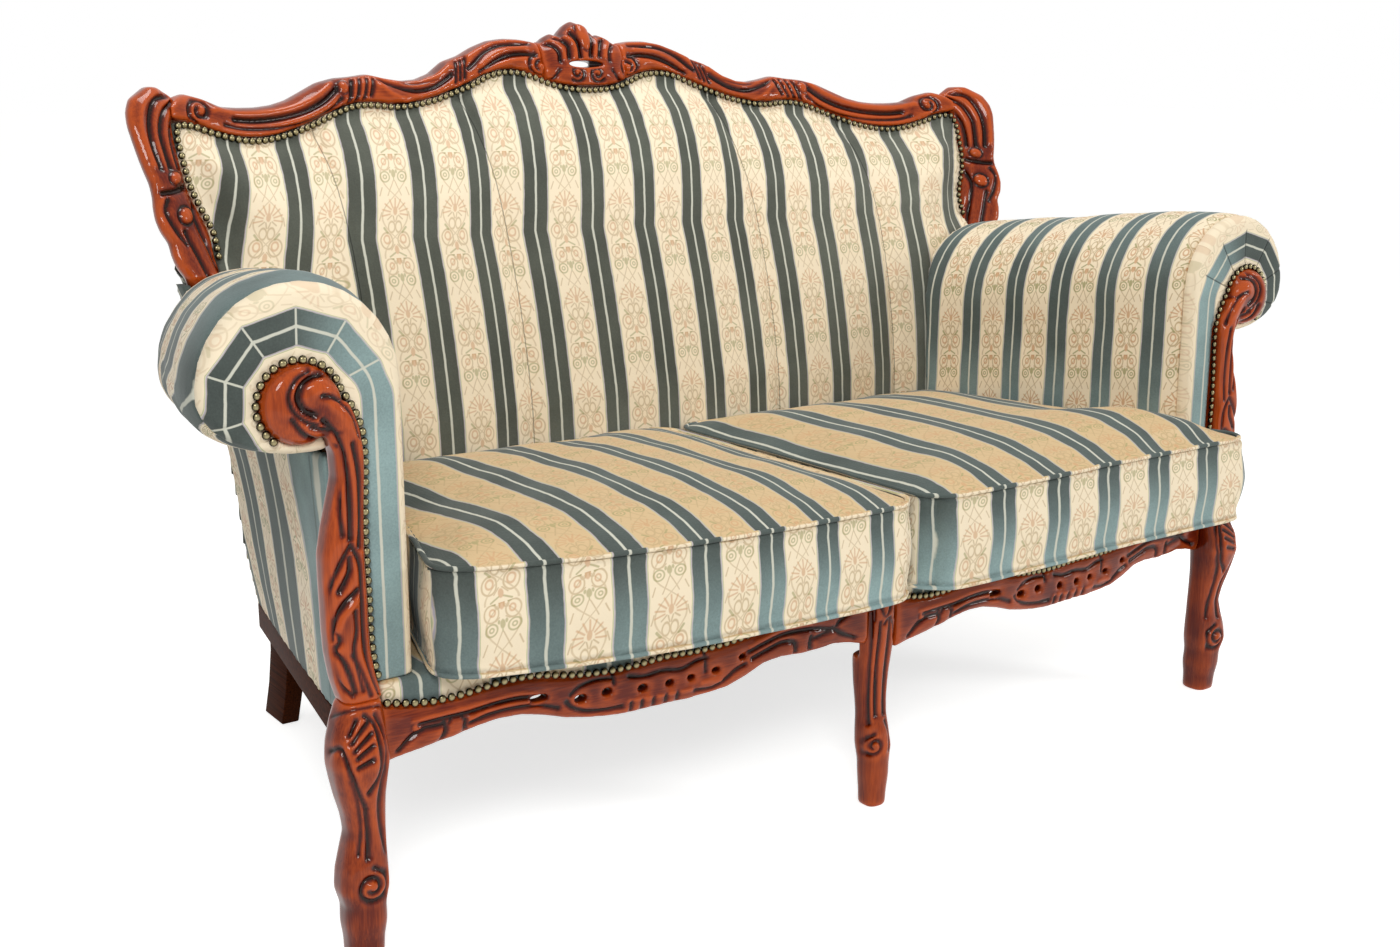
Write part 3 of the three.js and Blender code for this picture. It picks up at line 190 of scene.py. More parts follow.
@dataclass(frozen=True)
class LacqueredMahogany:
    """Beech stained mahogany red and lacquered, with painted shade darkening the cuts and a painted highlight
    brightening the ridges.

    The clear lacquer lies over it as a hard wet gloss.
    """

    name: str = "lacquered_mahogany_stained_beech"
    high: str = "B24B18"
    middle: str = "641A04"
    low: str = "160200"
    grain_width: float = 2.2 * MM
    grain_length: float = 60 * MM
    grain_share: float = 0.46
    cloud_share: float = 0.62
    relief_share: float = 0.5
    level: float = -0.13
    stops: tuple[float, float, float] = (0.06, 0.46, 0.86)
    roughness: float = 0.24
    coat: float = 0.42
    coat_roughness: float = 0.07
    warm: str = "F08A50"
    grain_axis: str = "Z"

    def build(self) -> bpy.types.Material:
        """Returns the material; the relief attribute, from the cut depth and the mesh's ridges and hollows,
        paints shade into the cuts and highlights onto the ridges.
        """
        made, t = material(self.name)
        place = node(t, "TexCoord", out="Object")
        along, across = 1 / self.grain_length, 1 / self.grain_width
        scale = (along, across, across) if self.grain_axis == "X" else (across, across, along)
        grain = noise(t, node(t, "Mapping", place, None, None, scale), 1.0, 4.0, 0.6)
        cloud = noise(t, place, 9.0, 3.0)
        stain = maths(t, "ADD", maths(t, "MULTIPLY", grain, self.grain_share),
                      maths(t, "MULTIPLY", cloud, self.cloud_share))
        # Painted shade and highlight: deeper cuts darker, raised beads and ridges brighter
        carved = maths(t, "MULTIPLY_ADD", attribute(t, "relief"), self.relief_share, self.level)
        tone = node(t, "ValToRGB", maths(t, "ADD", stain, carved))
        dark, bright = tone.node.color_ramp.elements
        dark.position, dark.color = self.stops[0], linear(self.low)
        bright.position, bright.color = self.stops[2], linear(self.high)
        tone.node.color_ramp.elements.new(self.stops[1]).color = linear(self.middle)
        rough = maths(t, "MULTIPLY_ADD", grain, 0.16, self.roughness)
        surface(t, tone, rough, (grain, 0.12, 0.6 * MM), Coat_Weight=self.coat, Coat_IOR=1.5,
                Coat_Roughness=self.coat_roughness, Specular_IOR_Level=0.06, Specular_Tint=linear(self.warm))
        return made


@dataclass(frozen=True)
class PlainTimber:
    """Sawn and planed softwood of the hidden frame, or dull stained wood: long grain, no gloss."""

    name: str
    light: str
    dark: str
    roughness: float = 0.7
    shine: float = 0.15
    grain_width: float = 3 * MM
    grain_length: float = 120 * MM
    grain_axis: str = "X"

    def build(self) -> bpy.types.Material:
        """Returns the material."""
        made, t = material(self.name)
        long, fine = 1 / self.grain_length, 1 / self.grain_width
        scale = {"X": (long, fine, fine), "Y": (fine, long, fine)}[self.grain_axis]
        stretched = node(t, "Mapping", node(t, "TexCoord", out="Object"), None, None, scale)
        grain = noise(t, stretched, 1.0, 5.0, 0.65)
        colour = mix(t, node(t, "MapRange", grain, 0.32, 0.68), linear(self.dark), linear(self.light))
        surface(t, colour, self.roughness, (grain, 0.2, 0.6 * MM), Specular_IOR_Level=self.shine)
        return made


class Tint(Enum):
    """Silk colours of the brocade's figures."""

    SAND = "B79C72"
    OLIVE = "9A9460"
    ROSE = "C99A70"


@dataclass(frozen=True)
class Ring:
    """A woven ring or dot in the brocade, in mm from the palmette's middle; the figure repeats mirrored."""

    x: float
    y: float
    radius: float
    tint: Tint
    half: float = 0.9
    squeeze: float = 1.0

    def far(self, t: Tree, at: Socket) -> Socket:
        """Returns the distance from the ring's line.

        Args:
            t: the material's node tree.
            at: place in the figure in mm.
        """
        away = node(t, "VectorMath", at, (self.x, self.y, 0), operation="SUBTRACT")
        even = node(t, "VectorMath", away, (1, self.squeeze, 1), operation="MULTIPLY")
        return gap(t, node(t, "VectorMath", even, operation="LENGTH", out="Value"), self.radius)


@dataclass(frozen=True)
class Stem:
    """A woven straight stroke in the brocade, in mm from the palmette's middle."""

    x0: float
    y0: float
    x1: float
    y1: float
    tint: Tint
    half: float = 0.8

    def far(self, t: Tree, at: Socket) -> Socket:
        """Returns the distance from the stroke.

        Args:
            t: the material's node tree.
            at: place in the figure in mm.
        """
        dx, dy = self.x1 - self.x0, self.y1 - self.y0
        away = node(t, "VectorMath", at, (self.x0, self.y0, 0), operation="SUBTRACT")
        unit = dx * dx + dy * dy
        share = node(t, "VectorMath", away, (dx / unit, dy / unit, 0), operation="DOT_PRODUCT", out="Value")
        foot = scaled(t, (dx, dy, 0), node(t, "Clamp", share, 0.0, 1.0))
        return node(t, "VectorMath", away, foot, operation="DISTANCE", out="Value")


FIGURES = (
    Ring(13.0, 38, 6.6, Tint.OLIVE, 1.0),
    Ring(13.0, 38, 2.4, Tint.OLIVE, 0.9),
    Ring(0, 42, 0, Tint.OLIVE, 3.2, 0.6),
    Ring(4.5, 45, 0, Tint.OLIVE, 1.6, 0.6),
    Stem(0, 34, 0, 47, Tint.OLIVE, 0.8),
    Stem(1, 33, 10, 14, Tint.SAND, 0.7),
    Ring(12.5, 57, 8.4, Tint.SAND, 0.9, 0.8),
    Ring(11.5, 58, 3.2, Tint.ROSE, 1.0, 0.8),
    Stem(4, 50, 8, 47, Tint.SAND, 0.9),
    Ring(0, 66, 0, Tint.ROSE, 3.4, 0.5),
    Ring(5.0, 66, 2.8, Tint.SAND, 0.9, 0.6),
    Stem(8, 67, 15, 70, Tint.OLIVE, 1.2),
    Ring(12.5, -45, 8.6, Tint.SAND, 1.0, 0.8),
    Ring(12.0, -43, 4.2, Tint.ROSE, 1.1, 0.8),
    Ring(0, -57, 0, Tint.ROSE, 3.2, 0.55),
    Stem(2, -50, 8, -57, Tint.SAND, 0.8),
    Stem(3, -61, 12, -66, Tint.OLIVE, 1.1),
    Stem(11, -34, 16, -28, Tint.OLIVE, 1.5),
    Ring(5.2, -27, 4.6, Tint.SAND, 0.9, 0.65),
    Stem(1, -20, 3, -13, Tint.SAND, 0.9),
    Ring(0, -6, 0, Tint.ROSE, 3.2, 0.55),
    Stem(5, -12, 11, -17, Tint.SAND, 0.9),
    Stem(18, 24, 22, 14, Tint.SAND, 0.8),
    Stem(20, -8, 23, -18, Tint.SAND, 0.8),
)


@dataclass(frozen=True)
class StripedVelvet:
    """Woven stripe of matt cut velvet and cream satin brocade.

    The pile bands drink light and pale at grazing angles, and the cream bands carry a fine thread figure;
    light and shade on the pile are also painted in.
    Real threads are too fine to show and are drawn about 2 mm coarse.
    """

    name: str
    cream: str = "EFDFC2"
    # Cream on upward faces: a darker tan painted in as shade
    cream_up: str = "EFDFC2"
    teal: str = "464B46"
    teal_lit: str = "8CA3A2"
    pale: str = "C9C9BA"
    edge: str = "AEA9B4"
    leaf: str = "B9BC94"
    figure: float = 0.5
    wander: float = 0.018
    fan_step: float = 25.0
    pleats: tuple[float, ...] = ()
    # With the flag set, pleat lines on the pile are painted pale as a highlight, otherwise dark as shade
    pleats_pale: bool = True
    seams: tuple[float, ...] = ()

    def palmette(self, t: Tree, at: Socket) -> Socket:
        """Draws the fan of leaf strokes at the middle of each repeat.

        Args:
            t: the material's node tree.
            at: place in the figure in mm.

        Returns:
            The fan's mask.
        """
        away = node(t, "VectorMath", at, (0, -9, 0), operation="SUBTRACT")
        far = node(t, "VectorMath", away, operation="LENGTH", out="Value")
        split = node(t, "SeparateXYZ", away).node
        turn = maths(t, "ARCTAN2", split.outputs[0], split.outputs[1])
        step = math.radians(self.fan_step)
        count = maths(t, "DIVIDE", turn, step)
        off = maths(t, "MULTIPLY", gap(t, count, maths(t, "ROUND", count)), step)
        line = node(t, "MapRange", maths(t, "MULTIPLY", off, far), 1.6, 0.5)
        ends = maths(t, "MULTIPLY", node(t, "MapRange", far, 6.0, 7.5), node(t, "MapRange", far, 21.0, 19.0))
        spread = node(t, "MapRange", turn, 2.0, 1.8)
        return maths(t, "MULTIPLY", maths(t, "MULTIPLY", line, spread), ends)

    def vine(self, t: Tree, across: Socket, along: Socket) -> Socket:
        """Draws the waving vine, which crosses its mirror image between the palmettes.

        Args:
            t: the material's node tree.
            across: distance from the cream band's middle in mm.
            along: distance from the palmette's middle in mm.

        Returns:
            The vine's mask.
        """
        phase = maths(t, "MULTIPLY", maths(t, "SUBTRACT", along, REPEAT / 2), math.pi / 54)
        wave = maths(t, "ABSOLUTE", maths(t, "SINE", phase))
        off = gap(t, across, maths(t, "MULTIPLY", wave, 19.0))
        return maths(t, "MULTIPLY", node(t, "MapRange", off, 1.7, 0.6), 0.75)

    def marks(self, t: Tree, along: Socket, spots: tuple[float, ...], half: float, size: object) -> Socket:
        """Draws thin lines.

        Args:
            t: the material's node tree.
            along: the measure that the lines cross.
            spots: where the lines lie on it.
            half: the lines' half width in mm.
            size: how many mm one unit of the measure is.

        Returns:
            The lines' mask.
        """
        offs = [maths(t, "MULTIPLY", gap(t, along, spot), size) for spot in spots]
        return most(t, *[node(t, "MapRange", off, half + 0.5, half - 0.3) for off in offs])

    def brocade(self, t: Tree, across: Socket, along: Socket) -> Socket:
        """Colours the cream bands, with their figures and edge threads, and paints upward-facing cream a
        darker tan as shade.

        Args:
            t: the material's node tree.
            across: distance from the cream band's middle in mm.
            along: distance from the palmette's middle in mm.

        Returns:
            The colour.
        """
        at = node(t, "CombineXYZ", across, along)
        masks = {Tint.SAND: [self.vine(t, across, along)], Tint.OLIVE: [], Tint.ROSE: [self.palmette(t, at)]}
        for shape in FIGURES:
            mask = node(t, "MapRange", shape.far(t, at), shape.half + 0.5, max(shape.half - 0.5, 0))
            masks[shape.tint].append(mask)
        # Painted shade: cream that faces upward is mixed towards a darker tan
        normal = node(t, "SeparateXYZ", node(t, "NewGeometry", out="Normal")).node
        top_shade = node(t, "MapRange", normal.outputs[2], 0.45, 0.85)
        band = mix(t, top_shade, linear(self.cream), linear(self.cream_up))
        for tint, shapes in masks.items():
            band = mix(t, maths(t, "MULTIPLY", most(t, *shapes), self.figure), band, linear(tint.value))
        for inner, outer, tone in ((25.2, 26.2, self.leaf), (26.4, 28.0, self.edge)):
            far = gap(t, across, (inner + outer) / 2)
            band = mix(t, node(t, "MapRange", far, (outer - inner) / 2 + 0.3, 0.2), band, linear(tone))
        return band

    def velvet(self, t: Tree, across: Socket, place: Socket, pile: Socket) -> Socket:
        """Colours the pile bands, with a random brushed tone, painted light and shade by place, and the pale
        cord in their middle.

        Args:
            t: the material's node tree.
            across: distance from the cream band's middle in mm.
            place: place on the piece in metres.
            pile: fine noise of the pile.

        Returns:
            The colour.
        """
        brushed_pile_and_painted_light = noise(t, place, 11.0, 3.0, 0.55)
        # Painted light: a per-vertex number mixes the teal from shaded to lit
        nap = node(t, "Clamp", attribute(t, "nap"), 0.0, 1.0)
        teal = mix(t, nap, linear(self.teal), linear(self.teal_lit))
        shade = maths(t, "MULTIPLY", maths(t, "MULTIPLY_ADD", brushed_pile_and_painted_light, 0.9, 0.5),
                      maths(t, "MULTIPLY_ADD", pile, 0.5, 0.75))
        centre = node(t, "MapRange", across, PERIOD / 2 - 2.2, PERIOD / 2 - 1.2)
        return mix(t, centre, scaled(t, teal, shade), linear(self.pale))

    def folded(self, t: Tree, cloth: Socket, velvet: Socket, place: Socket) -> Socket:
        """Paints shade along pleats, seams and the creases marked on the mesh, and with the flag set paints
        the pleats pale as a highlight instead.

        Args:
            t: the material's node tree.
            cloth: the flat cloth's colour.
            velvet: mask of the pile bands.
            place: place on the piece in metres.

        Returns:
            The colour.
        """
        # Painted shade: the cloth darkens along creases, pleats and seams
        crease = node(t, "Clamp", attribute(t, "crease"), 0.0, 1.0)
        if self.pleats:
            turn, reach = attribute(t, "turn"), attribute(t, "reach")
            lines = self.marks(t, turn, self.pleats, 1.0, maths(t, "MULTIPLY", reach, math.pi / 180))
            lines = maths(t, "MULTIPLY", lines, node(t, "MapRange", reach, 104.0, 100.0))
            # Painted highlight: pleat lines on the pile painted pale; without the flag they join the painted
            # shade
            if self.pleats_pale:
                cloth = mix(t, maths(t, "MULTIPLY", lines, velvet), cloth, linear(self.pale))
            else:
                crease = most(t, crease, lines)
        if self.seams:
            side = node(t, "SeparateXYZ", place).node.outputs[0]
            crease = most(t, crease, self.marks(t, side, self.seams, 0.8, 1 / MM))
        # Painted shade: up to 0.6 darker where a crease is marked
        return scaled(t, cloth, maths(t, "MULTIPLY_ADD", crease, -0.6, 1.0))

    def build(self) -> bpy.types.Material:
        """Returns the material; the weave UV map counts stripe periods across and figure repeats along."""
        made, t = material(self.name)
        weave = node(t, "SeparateXYZ", node(t, "UVMap", uv_map="weave")).node
        place = node(t, "TexCoord", out="Object")
        shift = maths(t, "MULTIPLY", maths(t, "SUBTRACT", noise(t, place, 60.0, 2.0), 0.5), self.wander)
        u = maths(t, "ADD", weave.outputs[0], shift)
        across = maths(t, "MULTIPLY", gap(t, u, maths(t, "ROUND", u)), PERIOD)
        v = weave.outputs[1]
        along = maths(t, "MULTIPLY", maths(t, "SUBTRACT", v, maths(t, "ROUND", v)), REPEAT)
        pile = noise(t, place, 420.0, 2.0, 0.6)
        velvet = node(t, "MapRange", across, CREAM_HALF + 0.4, CREAM_HALF + 1.4)
        cloth = mix(t, velvet, self.brocade(t, across, along), self.velvet(t, across, place, pile))
        cloth = self.folded(t, cloth, velvet, place)
        ribs = node(t, "TexWave", place, 240.0, 1.5, 2.0, out="Fac", bands_direction="Z")
        rough = maths(t, "MULTIPLY_ADD", velvet, 0.2, 0.62)
        height = maths(t, "MULTIPLY_ADD", velvet, 1.2, maths(t, "MULTIPLY_ADD", ribs, 0.25, pile))
        surface(t, cloth, rough, (height, 0.35, 0.7 * MM), Sheen_Weight=0.12, Sheen_Roughness=0.4,
                Specular_IOR_Level=0.2)
        return made


@dataclass(frozen=True)
class Jute:
    """Plain-woven jute webbing: coarse brown over-and-under threads."""

    name: str = "woven_jute_webbing"
    light: str = "B08D57"
    dark: str = "7A5C34"
    thread: float = 2.5 * MM

    def build(self) -> bpy.types.Material:
        """Returns the material."""
        made, t = material(self.name)
        place = node(t, "TexCoord", out="Object")
        warp, weft = (
            node(t, "TexWave", place, 1 / (6 * self.thread), 0.6, 1.0, bands_direction=way, out="Fac")
            for way in "XY"
        )
        threads = maths(t, "MULTIPLY", warp, weft)
        surface(t, mix(t, threads, linear(self.dark), linear(self.light)), 0.9, (threads, 0.6, 1 * MM))
        return made


@dataclass(frozen=True)
class BlackCambric:
    """Thin glazed cotton dust cover: flat black with a faint weave and a slight shine."""

    name: str = "black_cambric_lining"
    colour: str = "1C1A18"
    thread: float = 1.5 * MM

    def build(self) -> bpy.types.Material:
        """Returns the material."""
        made, t = material(self.name)
        threads = noise(t, node(t, "TexCoord", out="Object"), 1 / self.thread, 2.0)
        colour = scaled(t, linear(self.colour)[:3], maths(t, "MULTIPLY_ADD", threads, 0.8, 0.6))
        surface(t, colour, 0.6, (threads, 0.3, 0.5 * MM))
        return made


@dataclass(frozen=True)
class AntiqueBrass:
    """Antiqued brass upholstery nails: polished crowns, brown-black patina round the rims."""

    name: str = "antiqued_brass_nails"
    bright: str = "8A8060"
    patina: str = "0E0B07"

    def build(self) -> bpy.types.Material:
        """Returns the material; the crown attribute is 1 at a nail's top and 0 at its rim."""
        made, t = material(self.name)
        spots = noise(t, node(t, "TexCoord", out="Object"), 350.0, 2.0)
        worn = maths(t, "ADD", attribute(t, "crown"), maths(t, "MULTIPLY_ADD", spots, 0.3, -0.15))
        colour = mix(t, node(t, "MapRange", worn, 0.35, 0.9), linear(self.patina), linear(self.bright))
        surface(t, colour, 0.3, (spots, 0.1, 0.3 * MM), Metallic=1.0)
        return made


@dataclass(frozen=True)
class PaleFloor:
    """White studio paper: matt, and as bright as the background wherever no shadow lies."""

    name: str = "white_backdrop_paper"
    colour: str = "F4F4F2"
    lift: float = 0.68

    def build(self) -> bpy.types.Material:
        """Returns the material."""
        made, t = material(self.name)
        paper = node(t, "BsdfDiffuse", linear(self.colour))
        glow = node(t, "Emission", (1, 1, 1, 1), maths(t, "MULTIPLY", sight(t), self.lift))
        node(t, "OutputMaterial", node(t, "AddShader", paper, glow))
        return made


def sight(t: Tree) -> Socket:
    """Returns 1 for rays that show the backdrop itself: from the camera, a reflection or a clear piece."""
    path = node(t, "LightPath").node.outputs
    return most(t, path["Is Camera Ray"], path["Is Glossy Ray"], path["Is Transmission Ray"])


class Finishes:
    """Every finish, built once."""

    def __init__(self) -> None:
        """Builds the materials."""
        self.carved = LacqueredMahogany().build()
        lying = LacqueredMahogany("lacquered_mahogany_stained_beech_rails", grain_axis="X")
        self.carved_across = lying.build()
        # Rear legs and side rails: a plain dull stain, also made darker than the show wood as painted shade
        # for these low and rear pieces
        dull = PlainTimber("dull_stained_beech", "4A210C", "1F0B04", 0.6, 0.02, grain_axis="Y")
        self.stained = dull.build()
        self.inner = PlainTimber("planed_pine_frame", "C79F66", "9C7440").build()
        # The back's seams are also painted dark as shade
        seams = tuple(s * MM for s in BACK_SEAMS)
        self.back_cloth = StripedVelvet("striped_velvet_back", teal="474A41", teal_lit="8B8F83", figure=0.6,
                                        seams=seams).build()
        # The seat's upward-facing cream is painted a darker tan as shade
        self.seat_cloth = StripedVelvet("striped_velvet_seat", cream_up="D0B488", figure=0.62).build()
        self.arm_cloth = StripedVelvet("striped_velvet_arms", figure=0.8).build()
        # The left facing's pleats are painted pale as a highlight, the right facing's dark as shade
        self.facing_cloth = {
            side: StripedVelvet(f"pleated_velvet_facing_{side.label}", pleats=PLEATS,
                                pleats_pale=side is Side.LEFT, figure=0.3).build()
            for side in Side
        }
        self.webbing = Jute().build()
        self.lining = BlackCambric().build()
        self.brass = AntiqueBrass().build()
        self.floor = PaleFloor().build()


# Mesh helpers


def linked(name: str, data: bpy.types.ID) -> bpy.types.Object:
    """Makes an object and links it to the scene."""
    made = bpy.data.objects.new(name, data)
    bpy.context.scene.collection.objects.link(made)
    return made


def written(bm: bmesh.types.BMesh, name: str) -> bpy.types.Mesh:
    """Turns a bmesh to a new mesh and frees it."""
    mesh = bpy.data.meshes.new(name)
    bm.to_mesh(mesh)
    bm.free()
    return mesh


def solid_copy(names: list[str], voxel: float, smooth: int, name: str) -> bpy.types.Object:
    """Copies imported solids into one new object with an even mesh.

    Args:
        names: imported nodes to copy.
        voxel: size of the new faces in mm, or 0 to keep the solid's own faces.
        smooth: rounds of smoothing that take the facets off.
        name: the new object's name.

    Returns:
        The new object, linked to the scene.
    """
    bm = bmesh.new()
    for each in names:
        bm.from_mesh(NODES[each].data)
    bmesh.ops.remove_doubles(bm, verts=bm.verts, dist=0.02 * MM)
    made = linked(name, written(bm, name))
    if voxel:
        remesh = made.modifiers.new("even", "REMESH")
        remesh.mode = "VOXEL"
        remesh.voxel_size = voxel * MM
        ease(made, smooth)
    made.data.shade_smooth()
    return made


def ease(made: bpy.types.Object, rounds: int) -> None:
    """Smooths an object and applies its modifiers to its mesh.

    Args:
        made: the object.
        rounds: rounds of smoothing.
    """
    softer = made.modifiers.new("ease", "SMOOTH")
    softer.factor = 0.5
    softer.iterations = rounds
    shown = made.evaluated_get(bpy.context.evaluated_depsgraph_get())
    mesh = bpy.data.meshes.new_from_object(shown)
    old = made.data
    made.modifiers.clear()
    made.data = mesh
    bpy.data.meshes.remove(old)


def places(mesh: bpy.types.Mesh) -> Points:
    """Reads a mesh's vertices.

    Args:
        mesh: the mesh.

    Returns:
        The places in mm, with the depth counted from the front legs.
    """
    flat = np.empty(len(mesh.vertices) * 3)
    mesh.vertices.foreach_get("co", flat)
    return flat.reshape(-1, 3) / MM + (0, DEPTH_ZERO, 0)


def set_places(mesh: bpy.types.Mesh, points: Points) -> None:
    """Writes vertices back from mm."""
    mesh.vertices.foreach_set("co", ((points - (0, DEPTH_ZERO, 0)) * MM).ravel())
    mesh.update()


def normals(mesh: bpy.types.Mesh) -> Points:
    """Reads a mesh's vertex normals.

    Args:
        mesh: the mesh.

    Returns:
        One direction per vertex.
    """
    flat = np.empty(len(mesh.vertices) * 3)
    mesh.vertex_normals.foreach_get("vector", flat)
    return flat.reshape(-1, 3)


def cavity(mesh: bpy.types.Mesh, rounds: int) -> Points:
    """Measures ridges and hollows.

    Args:
        mesh: the mesh.
        rounds: how far round each vertex its surroundings are eased.

    Returns:
        How far each vertex stands over its eased surroundings in mm: ridges above 0, hollows below.
    """
    ends = np.empty(len(mesh.edges) * 2, dtype=np.int32)
    mesh.edges.foreach_get("vertices", ends)
    first, second = ends[0::2], ends[1::2]
    count = np.bincount(ends, minlength=len(mesh.vertices)).astype(float)[:, None]
    start = places(mesh)
    soft = start.copy()
    for _ in range(rounds):
        total = np.zeros_like(soft)
        for axis in range(3):
            total[:, axis] = np.bincount(first, soft[second, axis], len(soft))
            total[:, axis] += np.bincount(second, soft[first, axis], len(soft))
        soft = 0.4 * soft + 0.6 * total / count
    return np.einsum("ij,ij->i", start - soft, normals(mesh))


def set_attribute(mesh: bpy.types.Mesh, name: str, values: Points) -> None:
    """Stores one number per vertex for the shader."""
    layer = mesh.attributes.new(name, "FLOAT", "POINT")
    layer.data.foreach_set("value", values.astype(np.float32))


def set_weave(mesh: bpy.types.Mesh, u: Points, v: Points) -> None:
    """Writes the weave UV map from one pair per vertex.

    Args:
        mesh: the cover's mesh.
        u: stripe periods across.
        v: figure repeats along.
    """
    corners = np.empty(len(mesh.loops), dtype=np.int32)
    mesh.loops.foreach_get("vertex_index", corners)
    layer = mesh.uv_layers.new(name="weave")
    layer.data.foreach_set("uv", np.stack([u[corners], v[corners]], axis=1).astype(np.float32).ravel())


def striped(at: Points, middles: tuple[float, ...], period: float = PERIOD) -> Points:
    """Spreads stripes over a cover; they go on evenly past its outer bands.

    Args:
        at: places across the stripes in mm.
        middles: where the cream bands' middles lie.
        period: width of a stripe past the outer bands.

    Returns:
        Stripe periods across.
    """
    u = np.interp(at, middles, np.arange(len(middles)))
    return u + (np.minimum(at - middles[0], 0) + np.maximum(at - middles[-1], 0)) / period


def banded(at: Points, bands: tuple[tuple[float, float], ...], cream: float = 0.29) -> Points:
    """Spreads stripes over a cover whose cream bands were measured edge by edge.

    Args:
        at: places across the stripes in mm.
        bands: each cream band's two edges.
        cream: half a cream band's share of the period.

    Returns:
        Stripe periods across.
    """
    edges = [edge for band in bands for edge in band]
    marks = [k + side * cream for k in range(len(bands)) for side in (-1, 1)]
    u = np.interp(at, edges, marks)
    return u + (np.minimum(at - edges[0], 0) + np.maximum(at - edges[-1], 0)) / PERIOD


def finish_piece(made: bpy.types.Object, cover: bpy.types.Material, body: str,
                 node_name: str) -> None:
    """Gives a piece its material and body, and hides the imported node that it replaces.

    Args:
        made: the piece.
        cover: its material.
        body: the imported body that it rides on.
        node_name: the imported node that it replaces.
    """
    made.data.materials.clear()
    made.data.materials.append(cover)
    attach(made, body)
    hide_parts(node_name)
    LOG.info("%s: %d faces", made.name, len(made.data.polygons))


def rim(points: Points, level: float, stations: int = 220) -> Points:
    """Finds a cushion's outline at a height.

    Args:
        points: the cushion's places in mm.
        level: the height in mm.
        stations: how many points the outline gets.

    Returns:
        The closed outline in mm.
    """
    near = points[np.abs(points[:, 2] - level) < 5.0]
    middle = (points.min(axis=0) + points.max(axis=0)) / 2
    way = np.arctan2((near[:, 1] - middle[1]) * 1.1, near[:, 0] - middle[0])
    far = np.hypot(near[:, 0] - middle[0], near[:, 1] - middle[1])
    slot = np.floor((way + math.pi) / (2 * math.pi) * stations).astype(int) % stations
    line = np.zeros((stations, 3))
    for k in range(stations):
        inside = np.flatnonzero(slot == k)
        line[k] = near[inside[np.argmax(far[inside])]] if len(inside) else line[k - 1]
    for _ in range(2):
        line = 0.5 * line + 0.25 * (np.roll(line, 1, axis=0) + np.roll(line, -1, axis=0))
    line[:, 2] = level
    return line


def cord_mesh(line: Points, radius: float) -> bpy.types.Mesh:
    """Makes a closed sewn welt.

    Args:
        line: its middle line in mm.
        radius: in mm.

    Returns:
        The welt's mesh.
    """
    curve = bpy.data.curves.new("welt", "CURVE")
    curve.dimensions = "3D"
    curve.bevel_depth, curve.bevel_resolution = radius * MM, 2
    spline = curve.splines.new("POLY")
    spline.points.add(len(line) - 1)
    spots = (line - (0, DEPTH_ZERO, 0)) * MM
    spline.points.foreach_set("co", np.column_stack([spots, np.ones(len(spots))]).ravel())
    spline.use_cyclic_u = True
    holder = linked("welt", curve)
    mesh = bpy.data.meshes.new_from_object(holder.evaluated_get(bpy.context.evaluated_depsgraph_get()))
    bpy.data.objects.remove(holder)
    return mesh


def join(made: bpy.types.Object, meshes: list[bpy.types.Mesh]) -> None:
    """Adds meshes to an object's own mesh.

    Args:
        made: the object.
        meshes: what is added, and then removed.
    """
    bm = bmesh.new()
    bm.from_mesh(made.data)
    for mesh in meshes:
        bm.from_mesh(mesh)
        bpy.data.meshes.remove(mesh)
    bm.to_mesh(made.data)
    bm.free()
    made.data.shade_smooth()


def blend(low: float, high: float, x: Points) -> Points:
    """Returns a smooth step from 0 at low to 1 at high."""
    share = np.clip((x - low) / (high - low), 0, 1)
    return share * share * (3 - 2 * share)


def bell(x: Points, width: float) -> Points:
    """Returns a bell curve of height 1."""
    return np.exp(-((x / width) ** 2))


def rumple(points: Points, size: float, seed: int) -> Points:
    """Returns soft seeded waves between -1 and 1.

    Args:
        points: places in mm.
        size: the waves' length in mm.
        seed: picks the waves.

    Returns:
        One height per place.
    """
    rng = np.random.default_rng(seed)
    total = np.zeros(len(points))
    for _ in range(9):
        way = rng.normal(size=3)
        way *= 2 * math.pi / (size * rng.uniform(0.7, 1.6) * np.linalg.norm(way))
        total += np.sin(points @ way + rng.uniform(0, 2 * math.pi))
    return total / 4.5


# Carving


@dataclass(frozen=True)
class Cut:
    """One carved line: a groove where the depth is negative, a raised bead where it is positive."""

    points: tuple[tuple[float, float], ...]
    depth: float
    half: float = 4.0

    def height(self, x: Points, z: Points) -> Points:
        """Carves a bead as a soft ridge, or a groove as a sharp line between rounded shoulders.

        Args:
            x: places across in mm.
            z: their heights.

        Returns:
            The carved height in mm.
        """
        line = eased(np.array(self.points, dtype=float))
        best = np.full(len(x), 1e9)
        for (x0, z0), (x1, z1) in zip(line[:-1], line[1:]):
            dx, dz = x1 - x0, z1 - z0
            share = np.clip(((x - x0) * dx + (z - z0) * dz) / max(dx * dx + dz * dz, 1e-9), 0, 1)
            best = np.minimum(best, (x - x0 - share * dx) ** 2 + (z - z0 - share * dz) ** 2)
        far = np.sqrt(best)
        if self.depth > 0:
            return self.depth * bell(far, self.half)
        return 0.7 * self.depth * (bell(far, self.half) + np.exp(-far / (2.0 * self.half)))


@dataclass(frozen=True)
class Knob:
    """A carved ball or egg, raised by its height."""

    x: float
    z: float
    radius: float
    rise: float
    tall: float = 1.0

    def height(self, x: Points, z: Points) -> Points:
        """Carves the ball and the moat round it.

        Args:
            x: places across in mm.
            z: their heights.

        Returns:
            The carved height in mm.
        """
        r = np.hypot(x - self.x, (z - self.z) / self.tall) / self.radius
        dome = self.rise * np.sqrt(np.clip(1 - r * r, 0, 1))
        moat = -0.5 * self.rise * bell((r - 1.12) * self.radius, 2.2)
        return np.where(r < 1, dome, moat)


